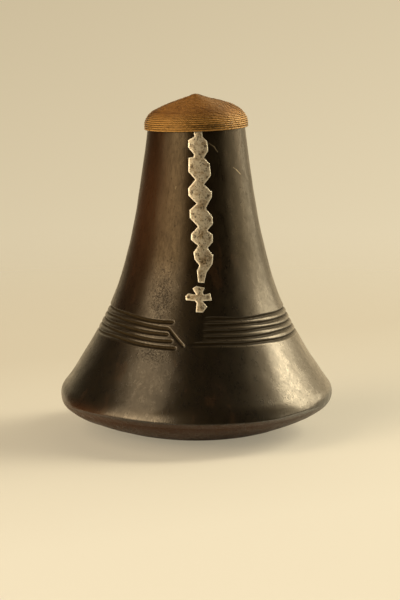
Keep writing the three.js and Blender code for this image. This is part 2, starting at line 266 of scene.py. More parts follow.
# How far the coil stays in from the edge, its smallest ring, and its steps, in millimetres and in degrees
COIL_EDGE_GAP = 0.05
COIL_INNER_RING = COIL_RADIUS * 1.2
COIL_STEP = 1.2
COIL_LARGEST_TURN = 20
STITCH_SPACING = 1.3
STITCH_WIDTH = 1.9
STITCH_LIFT = 0.1
STITCH_SLANT = 1.1
# A stitch's section, as shares of its width and lift, how far it bends over the coil in how many steps, how
# much narrower it is at its ends, and how deep those are tucked in
STITCH_SECTION = [(-0.5, -0.4), (-0.25, 0.8), (0.25, 0.8), (0.5, -0.4)]
STITCH_BEND = 88
STITCH_STEPS = 6
STITCH_PINCH = 0.3
STITCH_TUCK = 0.1
# How far stitches are turned from their line, their smallest and largest scale, and the seed of both
STITCH_SWAY = 3
STITCH_SMALLEST = (0.82, 0.98, 0.85)
STITCH_LARGEST = (1.15, 1.04, 1.3)
STITCH_SEED = 11
# The knot on top: its radius and half its height, how far below the top its middle lies, how many strands it
# has, how they lean and how far they stand off, how many lumps fit in its radius and how far they stand off,
# and how finely it is drawn
KNOT_RADIUS = 2.3
KNOT_RISE = 1.5
KNOT_SINK = 1.55
KNOT_STRANDS = 5
KNOT_LEAN = 3
KNOT_TWIST = 0.1
KNOT_LUMP_COUNT = 3
KNOT_LUMPS = 0.08
KNOT_LEVELS = 9
KNOT_SIDES = 20

# Links of the chain from the lid down: the corners of its left and of its right side, each with the waist
# below it last. Each corner is [across, below the lid's edge].
CHAIN_LINKS = [
    ([[-6.9, 6.1], [-7.0, 12.2], [-2.2, 17.8], [-2.2, 20.0]], [[9.0, 7.0], [10.0, 14.9], [6.3, 20.9]]),
    ([[-6.6, 20.8], [-7.0, 32.3], [-0.9, 39.1]], [[11.3, 25.9], [12.3, 35.8], [6.3, 43.3]]),
    ([[-7.0, 46.4], [-6.7, 52.5], [0.3, 59.1]], [[13.2, 49.7], [13.0, 53.7], [7.8, 63.2]]),
    ([[-5.9, 64.5], [-5.6, 71.1], [1.4, 78.3]], [[13.8, 70.5], [13.8, 76.3], [9.2, 81.5]]),
    ([[-4.5, 84.3], [-4.6, 89.2], [1.5, 94.1]], [[13.8, 85.1], [13.8, 91.4], [9.3, 96.1]]),
    ([[-2.5, 99.6], [-1.5, 105.4], [2.5, 110.3]], [[14.3, 102.5], [13.6, 109.3], [8.8, 115.8]]),
]
STUB = ([[-2.1, 0.7], [-1.5, 2.9]], [[4.9, 0.2], [5.2, 3.2]])
TAIL = ([[0.5, 114.7], [1.5, 124.2]], [[8.1, 118.1], [6.7, 124.6]])

# Flared cross, as [across, below its top edge]
CROSS_OUTLINE = [
    [-3.2, 2.2], [-0.2, 0], [7.1, 1.6], [5.4, 5.2], [6.1, 7.2], [11.7, 6.2],
    [13.1, 12.0], [4.9, 12.2], [9.2, 16.9], [5.4, 21.5], [-0.5, 21.2], [0.2, 13.9],
    [-1.2, 12.2], [-8.9, 11.6], [-9.3, 8.2], [-6.8, 6.1], [-0.2, 7.0],
]

# Pins, as [across, below the lid's edge] on the chain and [across, below the cross's top edge] on the cross
CHAIN_PINS = {
    "chain_pin_1_left": [-4.4, 10.6], "chain_pin_1_right": [7.3, 11.0],
    "chain_pin_2_left": [-3.8, 28.2], "chain_pin_2_right": [9.6, 27.4],
    "chain_pin_3_left": [-3.9, 50.1], "chain_pin_3_right": [9.9, 52.8],
    "chain_pin_4_left": [-3.1, 67.7], "chain_pin_4_right": [11.0, 72.6],
    "chain_pin_5_left": [-1.6, 86.5], "chain_pin_5_right": [11.1, 88.0],
    "chain_pin_6_left": [1.2, 101.5], "chain_pin_6_right": [11.3, 105.6],
    "chain_pin_tail": [4.0, 119.5],
}
CROSS_PINS = {
    "cross_pin_left": [-6.3, 8.9], "cross_pin_right": [9.6, 9.2],
    "cross_pin_top": [2.2, 2.8], "cross_pin_bottom": [4.2, 17.6],
}

# Height on the vessel's axis at which the lamps look
LAMPS_AIM = 120
FLOOR_RADIUS = 1600
FLOOR_SIDES = 96

# Camera: its place, how far it looks down, and its lens
CAMERA_PLACE = (3.04, -1975.9, 419.1)
CAMERA_PITCH = 8.75
CAMERA_LENS = 137.5
SENSOR = 36


# Curves and profiles

def bezier(corners, shares):
    """Points on a cubic curve, at shares of its way."""
    start, first, second, end = (np.asarray(corner, float) for corner in corners)
    t = np.asarray(shares, float)[:, None]
    return (1 - t) ** 3 * start + 3 * t * (1 - t) ** 2 * first + 3 * t ** 2 * (1 - t) * second + t ** 3 * end


def arc(centre, radius, start, end, count):
    """A count of points on a round, from one turn to another."""
    turns = np.radians(np.linspace(start, end, count))
    return np.asarray(centre, float) + radius * np.column_stack([np.cos(turns), np.sin(turns)])


def lengths_along(points):
    """How far along a polyline each of its points lies."""
    return np.concatenate([[0], np.cumsum(np.linalg.norm(np.diff(points, axis=0), axis=1))])


def parted(points, count):
    """Points along a polyline that divide it into a count of equal parts."""
    along = lengths_along(points)
    places = np.linspace(0, along[-1], count + 1)
    return np.column_stack([np.interp(places, along, points[:, axis]) for axis in range(points.shape[1])])


def resampled(points, spacing):
    """Points along a polyline, at an even spacing as near as it divides."""
    return parted(points, max(int(round(lengths_along(points)[-1] / spacing)), 1))


def profile_normals(points):
    """Normals of a [radius, height] profile, on its right as it runs."""
    along = np.gradient(points, axis=0)
    along /= np.linalg.norm(along, axis=1)[:, None]
    return np.column_stack([along[:, 1], -along[:, 0]])


def slope(turn):
    """Unit step that leans from straight up towards the axis by a turn."""
    return np.array([-math.sin(math.radians(turn)), math.cos(math.radians(turn))])


def smooth(share):
    """A share held between 0 and 1, and eased at both."""
    share = np.clip(share, 0, 1)
    return share * share * (3 - 2 * share)


def fade(value, start, end):
    """0 at a start, 1 at an end, and eased between them, whichever of them is the larger."""
    return smooth((value - start) / (end - start))


def hump(value, middle, reach):
    """1 at a middle, and less and less away from it on both sides."""
    return np.exp(-((value - middle) / reach) ** 2)


RIM = arc((RIM_RADIUS - RIM_ROUND, RIM_HEIGHT), RIM_ROUND, -RIM_LOWER_TURN, RIM_UPPER_TURN, RIM_POINTS)
UNDERSIDE = bezier(
    [
        (BASE_RADIUS, 0),
        (BASE_RADIUS + UNDERSIDE_BASE_PULL, 0),
        RIM[0] + UNDERSIDE_RIM_PULL * slope(180 - RIM_LOWER_TURN),
        RIM[0],
    ],
    np.linspace(0, 1, UNDERSIDE_POINTS),
)
FLARE_TOP = np.array([MOUTH_RADIUS, MOUTH_HEIGHT - LIP_ROUND])
FLARE = resampled(
    bezier(
        [
            RIM[-1],
            RIM[-1] + FLARE_LOW_PULL * slope(RIM_UPPER_TURN),
            FLARE_TOP - FLARE_HIGH_PULL * slope(MOUTH_TAPER),
            FLARE_TOP,
        ],
        np.linspace(0, 1, FLARE_POINTS),
    ),
    FLARE_SPACING,
)
FLARE_NORMALS = profile_normals(FLARE)


def flare_radius(height):
    """Radius of the flare's true profile at a height."""
    return np.interp(height, FLARE[:, 1], FLARE[:, 0])


def flare_normal(height):
    """How far outwards and upwards the flare faces at a height."""
    return tuple(np.interp(height, FLARE[:, 1], FLARE_NORMALS[:, axis]) for axis in (0, 1))


def between(points, low, high):
    """The points of a profile from one height to another."""
    return points[(points[:, 1] >= low) & (points[:, 1] <= high)]


def hollow_profile():
    """Lip and hollow, from the top of the flare over the lip and down to the middle of the floor."""
    lip_height = MOUTH_HEIGHT - LIP_ROUND
    bore = MOUTH_RADIUS - NECK_WALL
    outer_lip = arc((MOUTH_RADIUS - LIP_ROUND, lip_height), LIP_ROUND, 0, 90, LIP_POINTS)[1:]
    inner_lip = arc((bore + LIP_ROUND, lip_height), LIP_ROUND, 90, 180, LIP_POINTS)
    walls = np.linspace(BELLY_WALL, NECK_WALL, len(FLARE))[:, None]
    inner = FLARE - FLARE_NORMALS * walls
    wall = resampled(inner[inner[:, 1] < lip_height - LIP_ROUND][::-1], HOLLOW_ROWS)
    floor = bezier(
        [
            inner[0],
            inner[0] - HOLLOW_CORNER_PULL * slope(RIM_UPPER_TURN),
            (BASE_RADIUS + HOLLOW_FLOOR_PULL, FLOOR_THICKNESS),
            (BASE_RADIUS, FLOOR_THICKNESS),
        ],
        np.linspace(0, 1, HOLLOW_CORNER_POINTS),
    )
    centre = [[ring, FLOOR_THICKNESS] for ring in FLOOR_RINGS]
    return np.vstack([outer_lip, inner_lip, wall[:-1], floor, centre])


# Carved band

def along_groove(index, turn):
    """A turn, counted on all the way round from the turn where a groove starts."""
    start = GROOVE_STARTS[index]
    return start + np.mod(turn - start, 360)


def band_level(index, around):
    """Height of a groove at an angle counted from the front all the way round."""
    drop = BAND_DROP * fade(around, *BAND_DROP_TURNS)
    swing = np.radians(around)
    wander = sum(
        share * np.sin(waves * swing + step * index) for waves, step, share in GROOVE_WANDERS
    )
    down, turning, back = BAND_SAG_TURNS
    sag = BAND_SAG * fade(around, 0, down) * fade(around, back, turning)
    return BAND_HEIGHT + index * GROOVE_PITCH - drop - sag + wander


def groove_share(index, around, radius):
    """How far a groove has come in from its two ends, from 0 to 1, at an angle and a radius."""
    from_start = np.radians(around - GROOVE_STARTS[index]) * radius
    from_end = np.radians(GROOVE_ENDS[index] + 360 - around) * radius
    return smooth(from_start / GROOVE_START_FADE) * smooth(from_end / GROOVE_END_FADE)


def groove_section(place):
    """Share of a groove's depth at a place across it, from -1 at its lower edge to 1 at its upper edge."""
    rising = smooth((place + 1) / (GROOVE_FLOOR_PLACE + 1))
    falling = smooth((1 - place) / (1 - GROOVE_FLOOR_PLACE))
    return np.where(place < GROOVE_FLOOR_PLACE, rising, falling)


def ridge_section(place):
    """How far a place across a groove, counted as in its section, lies on the ridge below it, from 0 to 1."""
    below = (-1 - place) * GROOVE_WIDTH / 2
    away = np.abs(below - RIDGE_WIDTH / 4) / (RIDGE_WIDTH / 2)
    return smooth(RIDGE_CREST * (1 - away))


def along_grooves(section, turn, height):
    """What a section gives across the grooves, at turns and heights on the flare."""
    radius = flare_radius(height)
    rise = flare_normal(height)[0]
    most = np.zeros(np.broadcast(turn, height).shape)
    for index in range(len(GROOVE_STARTS)):
        around = along_groove(index, turn)
        place = (height - band_level(index, around)) / rise / (GROOVE_WIDTH / 2)
        most = np.maximum(most, groove_share(index, around, radius) * section(place))
    return most


def carving(turn, height):
    """Depth of the carved band, in millimetres, at turns and heights on the flare."""
    grooves = GROOVE_DEPTH * along_grooves(groove_section, turn, height)
    return np.maximum(grooves, slant_carving(turn, height))


def slant_carving(turn, height):
    """Depth of the slanting groove that closes the band on the left, from the fourth groove down."""
    top = np.array([SLANT_START_TURN, band_level(SLANT_GROOVE, 360 + SLANT_START_TURN)])
    foot = np.array([SLANT_END_TURN, SLANT_END_HEIGHT])
    radius = flare_radius((top[1] + foot[1]) / 2)
    rise = flare_normal((top[1] + foot[1]) / 2)[0]
    scale = np.array([math.radians(1) * radius, 1 / rise])
    way = (foot - top) * scale
    length = np.linalg.norm(way)
    along = way / length
    across_x = (turn - top[0]) * scale[0]
    across_y = (height - top[1]) * scale[1]
    run = across_x * along[0] + across_y * along[1]
    side = across_x * along[1] - across_y * along[0]
    place = np.hypot(side, np.maximum(-run, 0)) / (SLANT_WIDTH / 2)
    tapered = smooth((length - run) / (GROOVE_END_FADE * 2))
    return np.where(place < 1, GROOVE_DEPTH * tapered * smooth(1 - place), 0)


def waviness(point):
    """How far the hand-worked surface stands off its true profile at a point of it."""
    x, y, height = point
    turn = math.degrees(math.atan2(x, -y))
    lift = WAVE_HEIGHT * noise.fractal(Vector(point) / WAVE_LENGTH, *WAVE_FRACTAL)
    for swell_turn, swell_height, reach_round, reach_up, off in SWELLS:
        lift += off * hump(turn, swell_turn, reach_round) * hump(height, swell_height, reach_up)
    return lift


# Meshes

def placed(name, data):
    """A new object of some data, in the scene."""
    obj = bpy.data.objects.new(name, data)
    bpy.context.scene.collection.objects.link(obj)
    return obj


def skin(rings):
    """Faces between one closed ring of corners and the next. A ring at a pole repeats a single corner."""
    faces = []
    for lower, upper in zip(rings[:-1], rings[1:]):
        for here in range(len(lower)):
            after = (here + 1) % len(lower)
            corners = [lower[here], lower[after], upper[after], upper[here]]
            faces.append(list(dict.fromkeys(corners)))
    return faces


def new_object(name, points, faces, material=None):
    """Object made from points in millimetres, with its faces pointing outwards."""
    mesh = bpy.data.meshes.new(name)
    mesh.from_pydata([Vector(point) * MM for point in points], [], faces)
    work = bmesh.new()
    work.from_mesh(mesh)
    bmesh.ops.recalc_face_normals(work, faces=work.faces)
    work.to_mesh(mesh)
    work.free()
    if material:
        mesh.materials.append(material)
    return placed(name, mesh)


def plain_copy(obj, name):
    """Mesh object of what an object's modifiers make. The object itself is removed."""
    graph = bpy.context.evaluated_depsgraph_get()
    mesh = bpy.data.meshes.new_from_object(obj.evaluated_get(graph))
    bpy.data.objects.remove(obj)
    mesh.name = name
    return placed(name, mesh)


def cut_away(obj, cutter):
    """The object with a cutter's shape taken out of it."""
    name = obj.name
    cut = obj.modifiers.new("cut", "BOOLEAN")
    cut.operation = "DIFFERENCE"
    cut.object = cutter
    cut.solver = "MANIFOLD"
    made = plain_copy(obj, name)
    bpy.data.objects.remove(cutter)
    return made


def shade(obj, sharpest):
    """Shades smooth, except over edges that turn more than an angle."""
    obj.data.shade_smooth()
    obj.data.set_sharp_from_angle(angle=math.radians(sharpest))


def mesh_places(obj):
    """Places of a mesh's corners, in millimetres."""
    places = np.empty(len(obj.data.vertices) * 3)
    obj.data.vertices.foreach_get("co", places)
    return places.reshape(-1, 3) / MM


def store_marks(obj, marks):
    """Stores named values on a mesh, one for each of its corners."""
    for name, values in marks.items():
        attribute = obj.data.attributes.new(name, "FLOAT", "POINT")
        attribute.data.foreach_set("value", np.asarray(values, np.float32))


def vessel_turns():
    """Turns of the columns round the vessel."""
    turns = []
    for start, end, step in COLUMNS:
        count = int(round((end - start) / step))
        turns.extend(np.linspace(start, end, count, endpoint=False))
    return np.array(turns)


def edged_rim():
    """The rim's profile with a crisp lower edge, from the underside up to the flare."""
    edge = np.array([EDGE_RADIUS, EDGE_HEIGHT])
    roll = bezier(
        [edge, edge + EDGE_PULL * slope(EDGE_LEAN), RIM[-1] - EDGE_PULL * slope(RIM_UPPER_TURN), RIM[-1]],
        np.linspace(0, 1, EDGE_FACE_POINTS),
    )
    foot = UNDERSIDE[np.argmin(np.abs(UNDERSIDE[:, 1] - EDGE_FOOT_HEIGHT))]
    into = (edge - foot) / np.linalg.norm(edge - foot)
    face = roll[np.linalg.norm(roll - edge, axis=1) > EDGE_ROUND]
    corner = bezier([edge - into * EDGE_ROUND, edge, edge, face[0]], np.linspace(0, 1, EDGE_POINTS))
    below = UNDERSIDE[UNDERSIDE[:, 1] < foot[1]]
    return np.vstack([below, foot[None], corner, face[1:]])


def edge_share(turns):
    """How far the crisp edge has come in, from 0 to 1, at turns round the vessel."""
    return math.prod(fade(turns, start, end) for start, end in EDGE_FADES)


def carved_heights():
    """Heights between which the carved band lies."""
    return BAND_HEIGHT - BAND_DROP - GROOVE_WIDTH, BAND_HEIGHT + len(GROOVE_STARTS) * GROOVE_PITCH


def vessel_rows():
    """The vessel's profile from the middle of its base to that of its floor, the same with the crisp edge,
    and how many of the rows are outside."""
    band_low, band_high = carved_heights()
    base = [[ring, 0] for ring in BASE_RINGS]
    low_part = resampled(np.vstack([UNDERSIDE[:-1], RIM]), LOW_ROWS)
    edged_part = parted(edged_rim(), len(low_part) - 1)
    flare = np.vstack([
        resampled(between(FLARE, 0, band_low), FLARE_ROWS)[1:-1],
        resampled(between(FLARE, band_low, band_high), BAND_ROWS),
        resampled(between(FLARE, band_high, MOUTH_HEIGHT), NECK_ROWS)[1:],
    ])
    hollow = hollow_profile()
    plain = np.vstack([base, low_part, flare, hollow])
    edged = np.vstack([base, edged_part, flare, hollow])
    return plain, edged, len(plain) - len(hollow)


def vessel_block():
    """The whole vessel, hollow and carved, with its edge crisp round the front."""
    rows, edged, outside_count = vessel_rows()
    normals = profile_normals(rows)
    steps = edged - rows
    turns = vessel_turns()
    shares = edge_share(turns)
    climbs = shares * sum(climb * fade(turns, start, end) for climb, start, end in EDGE_CLIMBS)
    pulls = hump(edged[:, 1], EDGE_HEIGHT, EDGE_CLIMB_REACH) * (edged[:, 0] > BASE_RADIUS)
    sine, cosine = np.sin(np.radians(turns)), np.cos(np.radians(turns))
    points, rings = [], []
    for row, ((radius, height), (out, up)) in enumerate(zip(rows, normals)):
        if radius == 0:
            rings.append([len(points)] * len(turns))
            points.append((0, 0, height))
            continue
        lift = np.zeros(len(turns))
        if row < outside_count:
            lift = np.array([waviness((radius * s, -radius * c, height)) for s, c in zip(sine, cosine)])
            lift = lift * fade(height, 0, WAVE_FADE_HEIGHT)
            if height > RIM_HEIGHT + RIM_ROUND:
                lift = lift - carving(turns, np.full(len(turns), height))
        rings.append(list(range(len(points), len(points) + len(turns))))
        reach = radius + out * lift + shares * steps[row][0]
        rise = height + up * lift + shares * steps[row][1]
        if row < outside_count:
            rise = rise + climbs * pulls[row]
        points.extend(zip(reach * sine, -reach * cosine, rise))
    return new_object("vessel", points, skin(rings))


def set_vessel_marks(obj):
    """Stores where the wood is carved, dusty, ridged and painted with a highlight there, rubbed by use,
    painted as lit from below on the underside, and dimpled.
    """
    x, y, height = mesh_places(obj).T
    turn = np.degrees(np.arctan2(x, -y))
    radius = np.hypot(x, y)
    band_low, band_high = carved_heights()
    in_band = (height > band_low) & (height < band_high) & (radius > flare_radius(height) - BELLY_WALL / 2)
    carved = in_band * smooth(carving(turn, height) / GROOVE_DEPTH)
    on_left = fade(turn, *DUST_TURNS)
    dusty = carved * on_left * (DUST_LEFT + (1 - DUST_LEFT) * fade(turn, *DUST_THINS))
    near_start = math.prod(fade(turn, start, end) for start, end in RIDGE_START_TURNS)
    # The ridge below each groove is painted pale, as a highlight along it and as rubbed wear
    ridge = in_band * along_grooves(ridge_section, turn, height)
    ridge *= (1 - (1 - RIDGE_ON_LEFT) * on_left) * (1 - (1 - RIDGE_AT_START) * near_start)
    worn_side = math.prod(fade(turn, start, end) for start, end in WORN_TURNS)
    rim = worn_side * hump(height, WORN_RIM_HEIGHT, WORN_RIM_REACH) * fade(radius, *WORN_RIM_RADII)
    # Below the edge the underside is painted warm brown, as light bounced up from the floor
    under = fade(height, EDGE_HEIGHT, EDGE_HEIGHT - UNDERSIDE_PAINTED_LIGHT_FADE) * fade(radius, 0, BASE_RADIUS)
    neck_turn, neck_height, round_reach, up_reach, strength = WORN_NECK
    neck = strength * hump(turn, neck_turn, round_reach) * hump(height, neck_height, up_reach)
    lip = hump(height, MOUTH_HEIGHT, WORN_LIP_REACH)
    rubbed = UNDERSIDE_PAINTED_LIGHT * under + WORN_RIM * rim + lip + neck
    dimpled = sum(
        share * hump(turn, at_turn, reach_round) * hump(height, at_height, reach_up)
        for at_turn, at_height, reach_round, reach_up, share in DIMPLES
    )
    store_marks(obj, {
        "carved": carved, "dusty": dusty, "ridge": ridge,
        "rubbed": np.clip(rubbed, 0, 1), "dimpled": np.clip(dimpled, 0, 1),
    })


# Inlay

def neck_place(across, height, lift):
    """A point off the front of the neck by a lift, and the way outwards there."""
    radius = flare_radius(height)
    out, up = flare_normal(height)
    back = math.sqrt(radius ** 2 - across ** 2)
    foot = Vector((across, -back, height))
    outward = Vector((across / radius * out, -back / radius * out, up))
    return foot + outward * (lift + waviness(foot)), outward


def chain_corners():
    """Outline of the chain, as [across, height], anticlockwise from the front."""
    left, right = (
        [[stub[0][0], -CHAIN_TUCK], *stub, *(corner for link in links for corner in link), *tail]
        for stub, links, tail in zip(STUB, zip(*CHAIN_LINKS), TAIL)
    )
    return [[across, LID_EDGE_HEIGHT - below] for across, below in left + right[::-1]]


CHAIN_CORNERS = chain_corners()
CROSS_TOP_HEIGHT = min(height for across, height in CHAIN_CORNERS) - CHAIN_TO_CROSS
CROSS_CORNERS = [[across, CROSS_TOP_HEIGHT - below] for across, below in CROSS_OUTLINE][::-1]
PIN_PLACES = {
    "chain": [[across, LID_EDGE_HEIGHT - below] for across, below in CHAIN_PINS.values()],
    "cross": [[across, CROSS_TOP_HEIGHT - below] for across, below in CROSS_PINS.values()],
}
ALL_PIN_PLACES = PIN_PLACES["chain"] + PIN_PLACES["cross"]


def side_counts(corners, spacing):
    """How many parts each side of a closed outline is divided into."""
    sides = np.roll(corners, -1, axis=0) - corners
    return np.maximum(np.round(np.linalg.norm(sides, axis=1) / spacing), 1).astype(int)


def ring_turns(sides):
    """Turns, in radians, of the corners of a round drawn with a number of sides."""
    return np.radians(np.linspace(0, 360, sides, endpoint=False))


def divided(corners, counts):
    """A closed outline with its corners kept and each side divided into a count of parts."""
    points = []
    for here, after, count in zip(corners, np.roll(corners, -1, axis=0), counts):
        points.extend(here + (after - here) * step / count for step in range(count))
    return np.array(points)


def inset(outline, distance):
    """A closed anticlockwise outline moved inwards, square to its sides."""
    into = outline - np.roll(outline, 1, axis=0)
    away = np.roll(outline, -1, axis=0) - outline
    into /= np.linalg.norm(into, axis=1)[:, None]
    away /= np.linalg.norm(away, axis=1)[:, None]
    miter = np.column_stack([-(into + away)[:, 1], (into + away)[:, 0]])
    return outline + miter * (distance / (1 + (into * away).sum(axis=1)))[:, None]


def inside(points, outline):
    """Which points lie inside a closed outline."""
    x, y = points[:, 0][:, None], points[:, 1][:, None]
    start, end = outline, np.roll(outline, -1, axis=0)
    spans = (start[:, 1] > y) != (end[:, 1] > y)
    rise = np.where(end[:, 1] == start[:, 1], 1, end[:, 1] - start[:, 1])
    crossing = (end[:, 0] - start[:, 0]) * (y - start[:, 1]) / rise + start[:, 0]
    return (spans & (x < crossing)).sum(axis=1) % 2 == 1


def edge_distance(points, outline):
    """Distance of each point from the nearest side of a closed outline."""
    start, end = outline, np.roll(outline, -1, axis=0)
    side = end - start
    share = ((points[:, None] - start) * side).sum(axis=2) / (side ** 2).sum(axis=1)
    nearest = start + np.clip(share, 0, 1)[..., None] * side
    return np.linalg.norm(points[:, None] - nearest, axis=2).min(axis=1)


def fill_points(outline, holes, hole_radius, spacing):
    """Points in a staggered pattern inside an outline, clear of its edge and of its holes."""
    low, high = outline.min(axis=0), outline.max(axis=0)
    rows = np.arange(low[1], high[1], spacing * FILL_ROW)
    points = []
    for index, level in enumerate(rows):
        offset = spacing / 2 * (index % 2)
        points.extend([across, level] for across in np.arange(low[0] + offset, high[0], spacing))
    points = np.array(points)
    points = points[inside(points, outline)]
    points = points[edge_distance(points, outline) > spacing * FILL_FROM_EDGE]
    for hole in holes:
        points = points[np.linalg.norm(points - hole, axis=1) > hole_radius + spacing * FILL_FROM_HOLE]
    return points


def neck_sheet(name, corners, holes, hole_radius, bottom, top, rim_steps, surface):
    """A closed plate that follows the front of the neck, between two lifts off it.

    Each rim step is [how far in from the outline, how far below the top]. The surface adds its own lift.
    """
    corners = np.asarray(corners, float)
    counts = side_counts(corners, OUTLINE_SPACING)
    outline = divided(corners, counts)
    rings = [divided(inset(corners, step), counts) for step, drop in rim_steps]
    inner = rings[-1]
    size = len(outline)
    turns = ring_turns(HOLE_SIDES)
    circle = hole_radius * np.column_stack([np.cos(turns), np.sin(turns)])
    fill = fill_points(inner, holes, hole_radius, FILL_SPACING)
    flat = np.vstack([inner, *(np.asarray(hole) + circle for hole in holes), fill])
    sides = [(here, (here + 1) % size) for here in range(size)]
    for first in range(size, size + HOLE_SIDES * len(holes), HOLE_SIDES):
        sides += [(first + here, first + (here + 1) % HOLE_SIDES) for here in range(HOLE_SIDES)]
    made = delaunay_2d_cdt([Vector(point) for point in flat], sides, [], INSIDE_ONLY, SAME_POINT)
    origin = [found[0] for found in made[3]]
    triangles = []
    for triangle in made[2]:
        own = [origin[corner] for corner in triangle]
        middle = flat[own].mean(axis=0)
        if all(np.linalg.norm(middle - hole) > hole_radius * HOLE_INSIDE for hole in holes):
            triangles.append(own)

    depth = edge_distance(flat, outline)
    points = []

    def place(at, lift):
        points.append(neck_place(at[0], at[1], lift)[0])
        return len(points) - 1

    tops = [place(at, top + surface(at, inward)) for at, inward in zip(flat, depth)]
    bottoms = [place(at, bottom) for at in np.vstack([outline, flat[size:]])]
    rim = [bottoms[:size]]
    for ring, (step, drop) in list(zip(rings, rim_steps))[:-1]:
        rim.append([place(at, top - drop) for at in ring])
    rim.append(tops[:size])
    faces = [[tops[corner] for corner in triangle] for triangle in triangles]
    faces += [[bottoms[corner] for corner in triangle[::-1]] for triangle in triangles]
    faces += skin(rim)
    faces += [[bottoms[after], bottoms[here], tops[here], tops[after]] for here, after in sides[size:]]
    return new_object(name, points, faces)


def hammered(at, inward):
    """Lift of the beaten sheet: soft dents, and a top that swells a little away from its edge."""
    dents = sum(
        noise.noise(Vector((at[0] / length, at[1] / length, slice_at))) * height
        for length, height, slice_at in DENTS
    )
    return dents * min(inward / DENT_FADE, 1) + CROWN * (1 - math.exp(-inward / CROWN_REACH))


def undented(at, inward):
    """Lift of a plain sheet: none."""
    return 0


def rods(name, places, radius, inner, outer, sides):
    """Round rods square to the neck, closed at both ends."""
    points, faces = [], []
    for across, height in places:
        foot, outward = neck_place(across, height, 0)
        side = outward.cross(Vector((0, 0, 1))).normalized()
        up = side.cross(outward)
        rings = []
        for reach in (inner, outer):
            rings.append(list(range(len(points), len(points) + sides)))
            for turn in ring_turns(sides):
                off = (side * math.cos(turn) + up * math.sin(turn)) * radius
                points.append(foot + outward * reach + off)
        faces += [*rings, *skin(rings)]
    return new_object(name, points, faces)


def sheet_seat(name, corners):
    """What is cut out of the wood for a sheet: its outline and its depth, each with the gap added."""
    outline = inset(np.asarray(corners, float), -SEAT_GAP)
    bottom = SHEET_PROUD - SHEET_THICKNESS - SEAT_GAP
    return neck_sheet(name, outline, [], 0, bottom, CUT_PROUD, [(0, 0)], undented)


def inlay_sheet(name, corners, holes):
    """A beaten sheet with rounded rims and holes for its pins, marked where it is bright and stained."""
    bottom = SHEET_PROUD - SHEET_THICKNESS
    made = neck_sheet(name, corners, holes, PIN_RADIUS + PIN_GAP, bottom, SHEET_PROUD, SHEET_RIM, hammered)
    shade(made, SHEET_SHARPEST)
    places = mesh_places(made)[:, [0, 2]]
    across, height = places.T
    from_edge = edge_distance(places, np.asarray(corners, float))
    stain = sum(
        strength * hump(np.hypot(across - at, LID_EDGE_HEIGHT - below - height), 0, reach)
        for at, below, reach, strength in SHEET_STAINS
    )
    store_marks(made, {"rim": hump(from_edge, 0, RIM_SHINE), "stain": stain})
    return made


# Geometry Nodes

def add(tree, kind, inputs=(), **settings):
    """Adds a node, sets its properties, and sets or links its inputs, given by name or number."""
    node = tree.nodes.new(kind)
    for name, value in settings.items():
        setattr(node, name, value)
    for name, value in dict(inputs).items():
        if isinstance(value, bpy.types.NodeSocket):
            tree.links.new(value, node.inputs[name])
        else:
            node.inputs[name].default_value = value
    return node


def node_group(name, inputs):
    """A Geometry Nodes tree with named inputs, and its input and output nodes."""
    tree = bpy.data.node_groups.new(name, "GeometryNodeTree")
    tree.interface.new_socket("Geometry", in_out="INPUT", socket_type="NodeSocketGeometry")
    for label, kind in inputs.items():
        tree.interface.new_socket(label, in_out="INPUT", socket_type=kind)
    tree.interface.new_socket("Geometry", in_out="OUTPUT", socket_type="NodeSocketGeometry")
    return tree, tree.nodes.new("NodeGroupInput"), tree.nodes.new("NodeGroupOutput")


def finish_group(tree, geometry, material, end):
    """Ends a tree in Realize Instances and Set Material."""
    real = add(tree, "GeometryNodeRealizeInstances", {"Geometry": geometry})
    dressed = add(tree, "GeometryNodeSetMaterial", {"Geometry": real.outputs[0], "Material": material})
    tree.links.new(dressed.outputs[0], end.inputs[0])


def grown(obj, tree, values, name):
    """The mesh that a tree grows from an object, with the tree's inputs set by their identifiers."""
    modifier = obj.modifiers.new("grow", "NODES")
    modifier.node_group = tree
    for item in tree.interface.items_tree:
        if item.item_type == "SOCKET" and item.in_out == "INPUT" and item.name in values:
            modifier[item.identifier] = values[item.name]
    return plain_copy(obj, name)


def coil_tree(material):
    """Sweeps a round coil of fibre along a path."""
    tree, start, end = node_group("fibre coil", {"Coil Radius": "NodeSocketFloat", "Sides": "NodeSocketInt"})
    path = add(tree, "GeometryNodeMeshToCurve", {"Mesh": start.outputs["Geometry"]})
    ring = add(
        tree, "GeometryNodeCurvePrimitiveCircle",
        {"Resolution": start.outputs["Sides"], "Radius": start.outputs["Coil Radius"]},
    )
    swept = add(
        tree, "GeometryNodeCurveToMesh",
        {"Curve": path.outputs[0], "Profile Curve": ring.outputs["Curve"], "Fill Caps": True},
    )
    finish_group(tree, swept.outputs[0], material, end)
    return tree


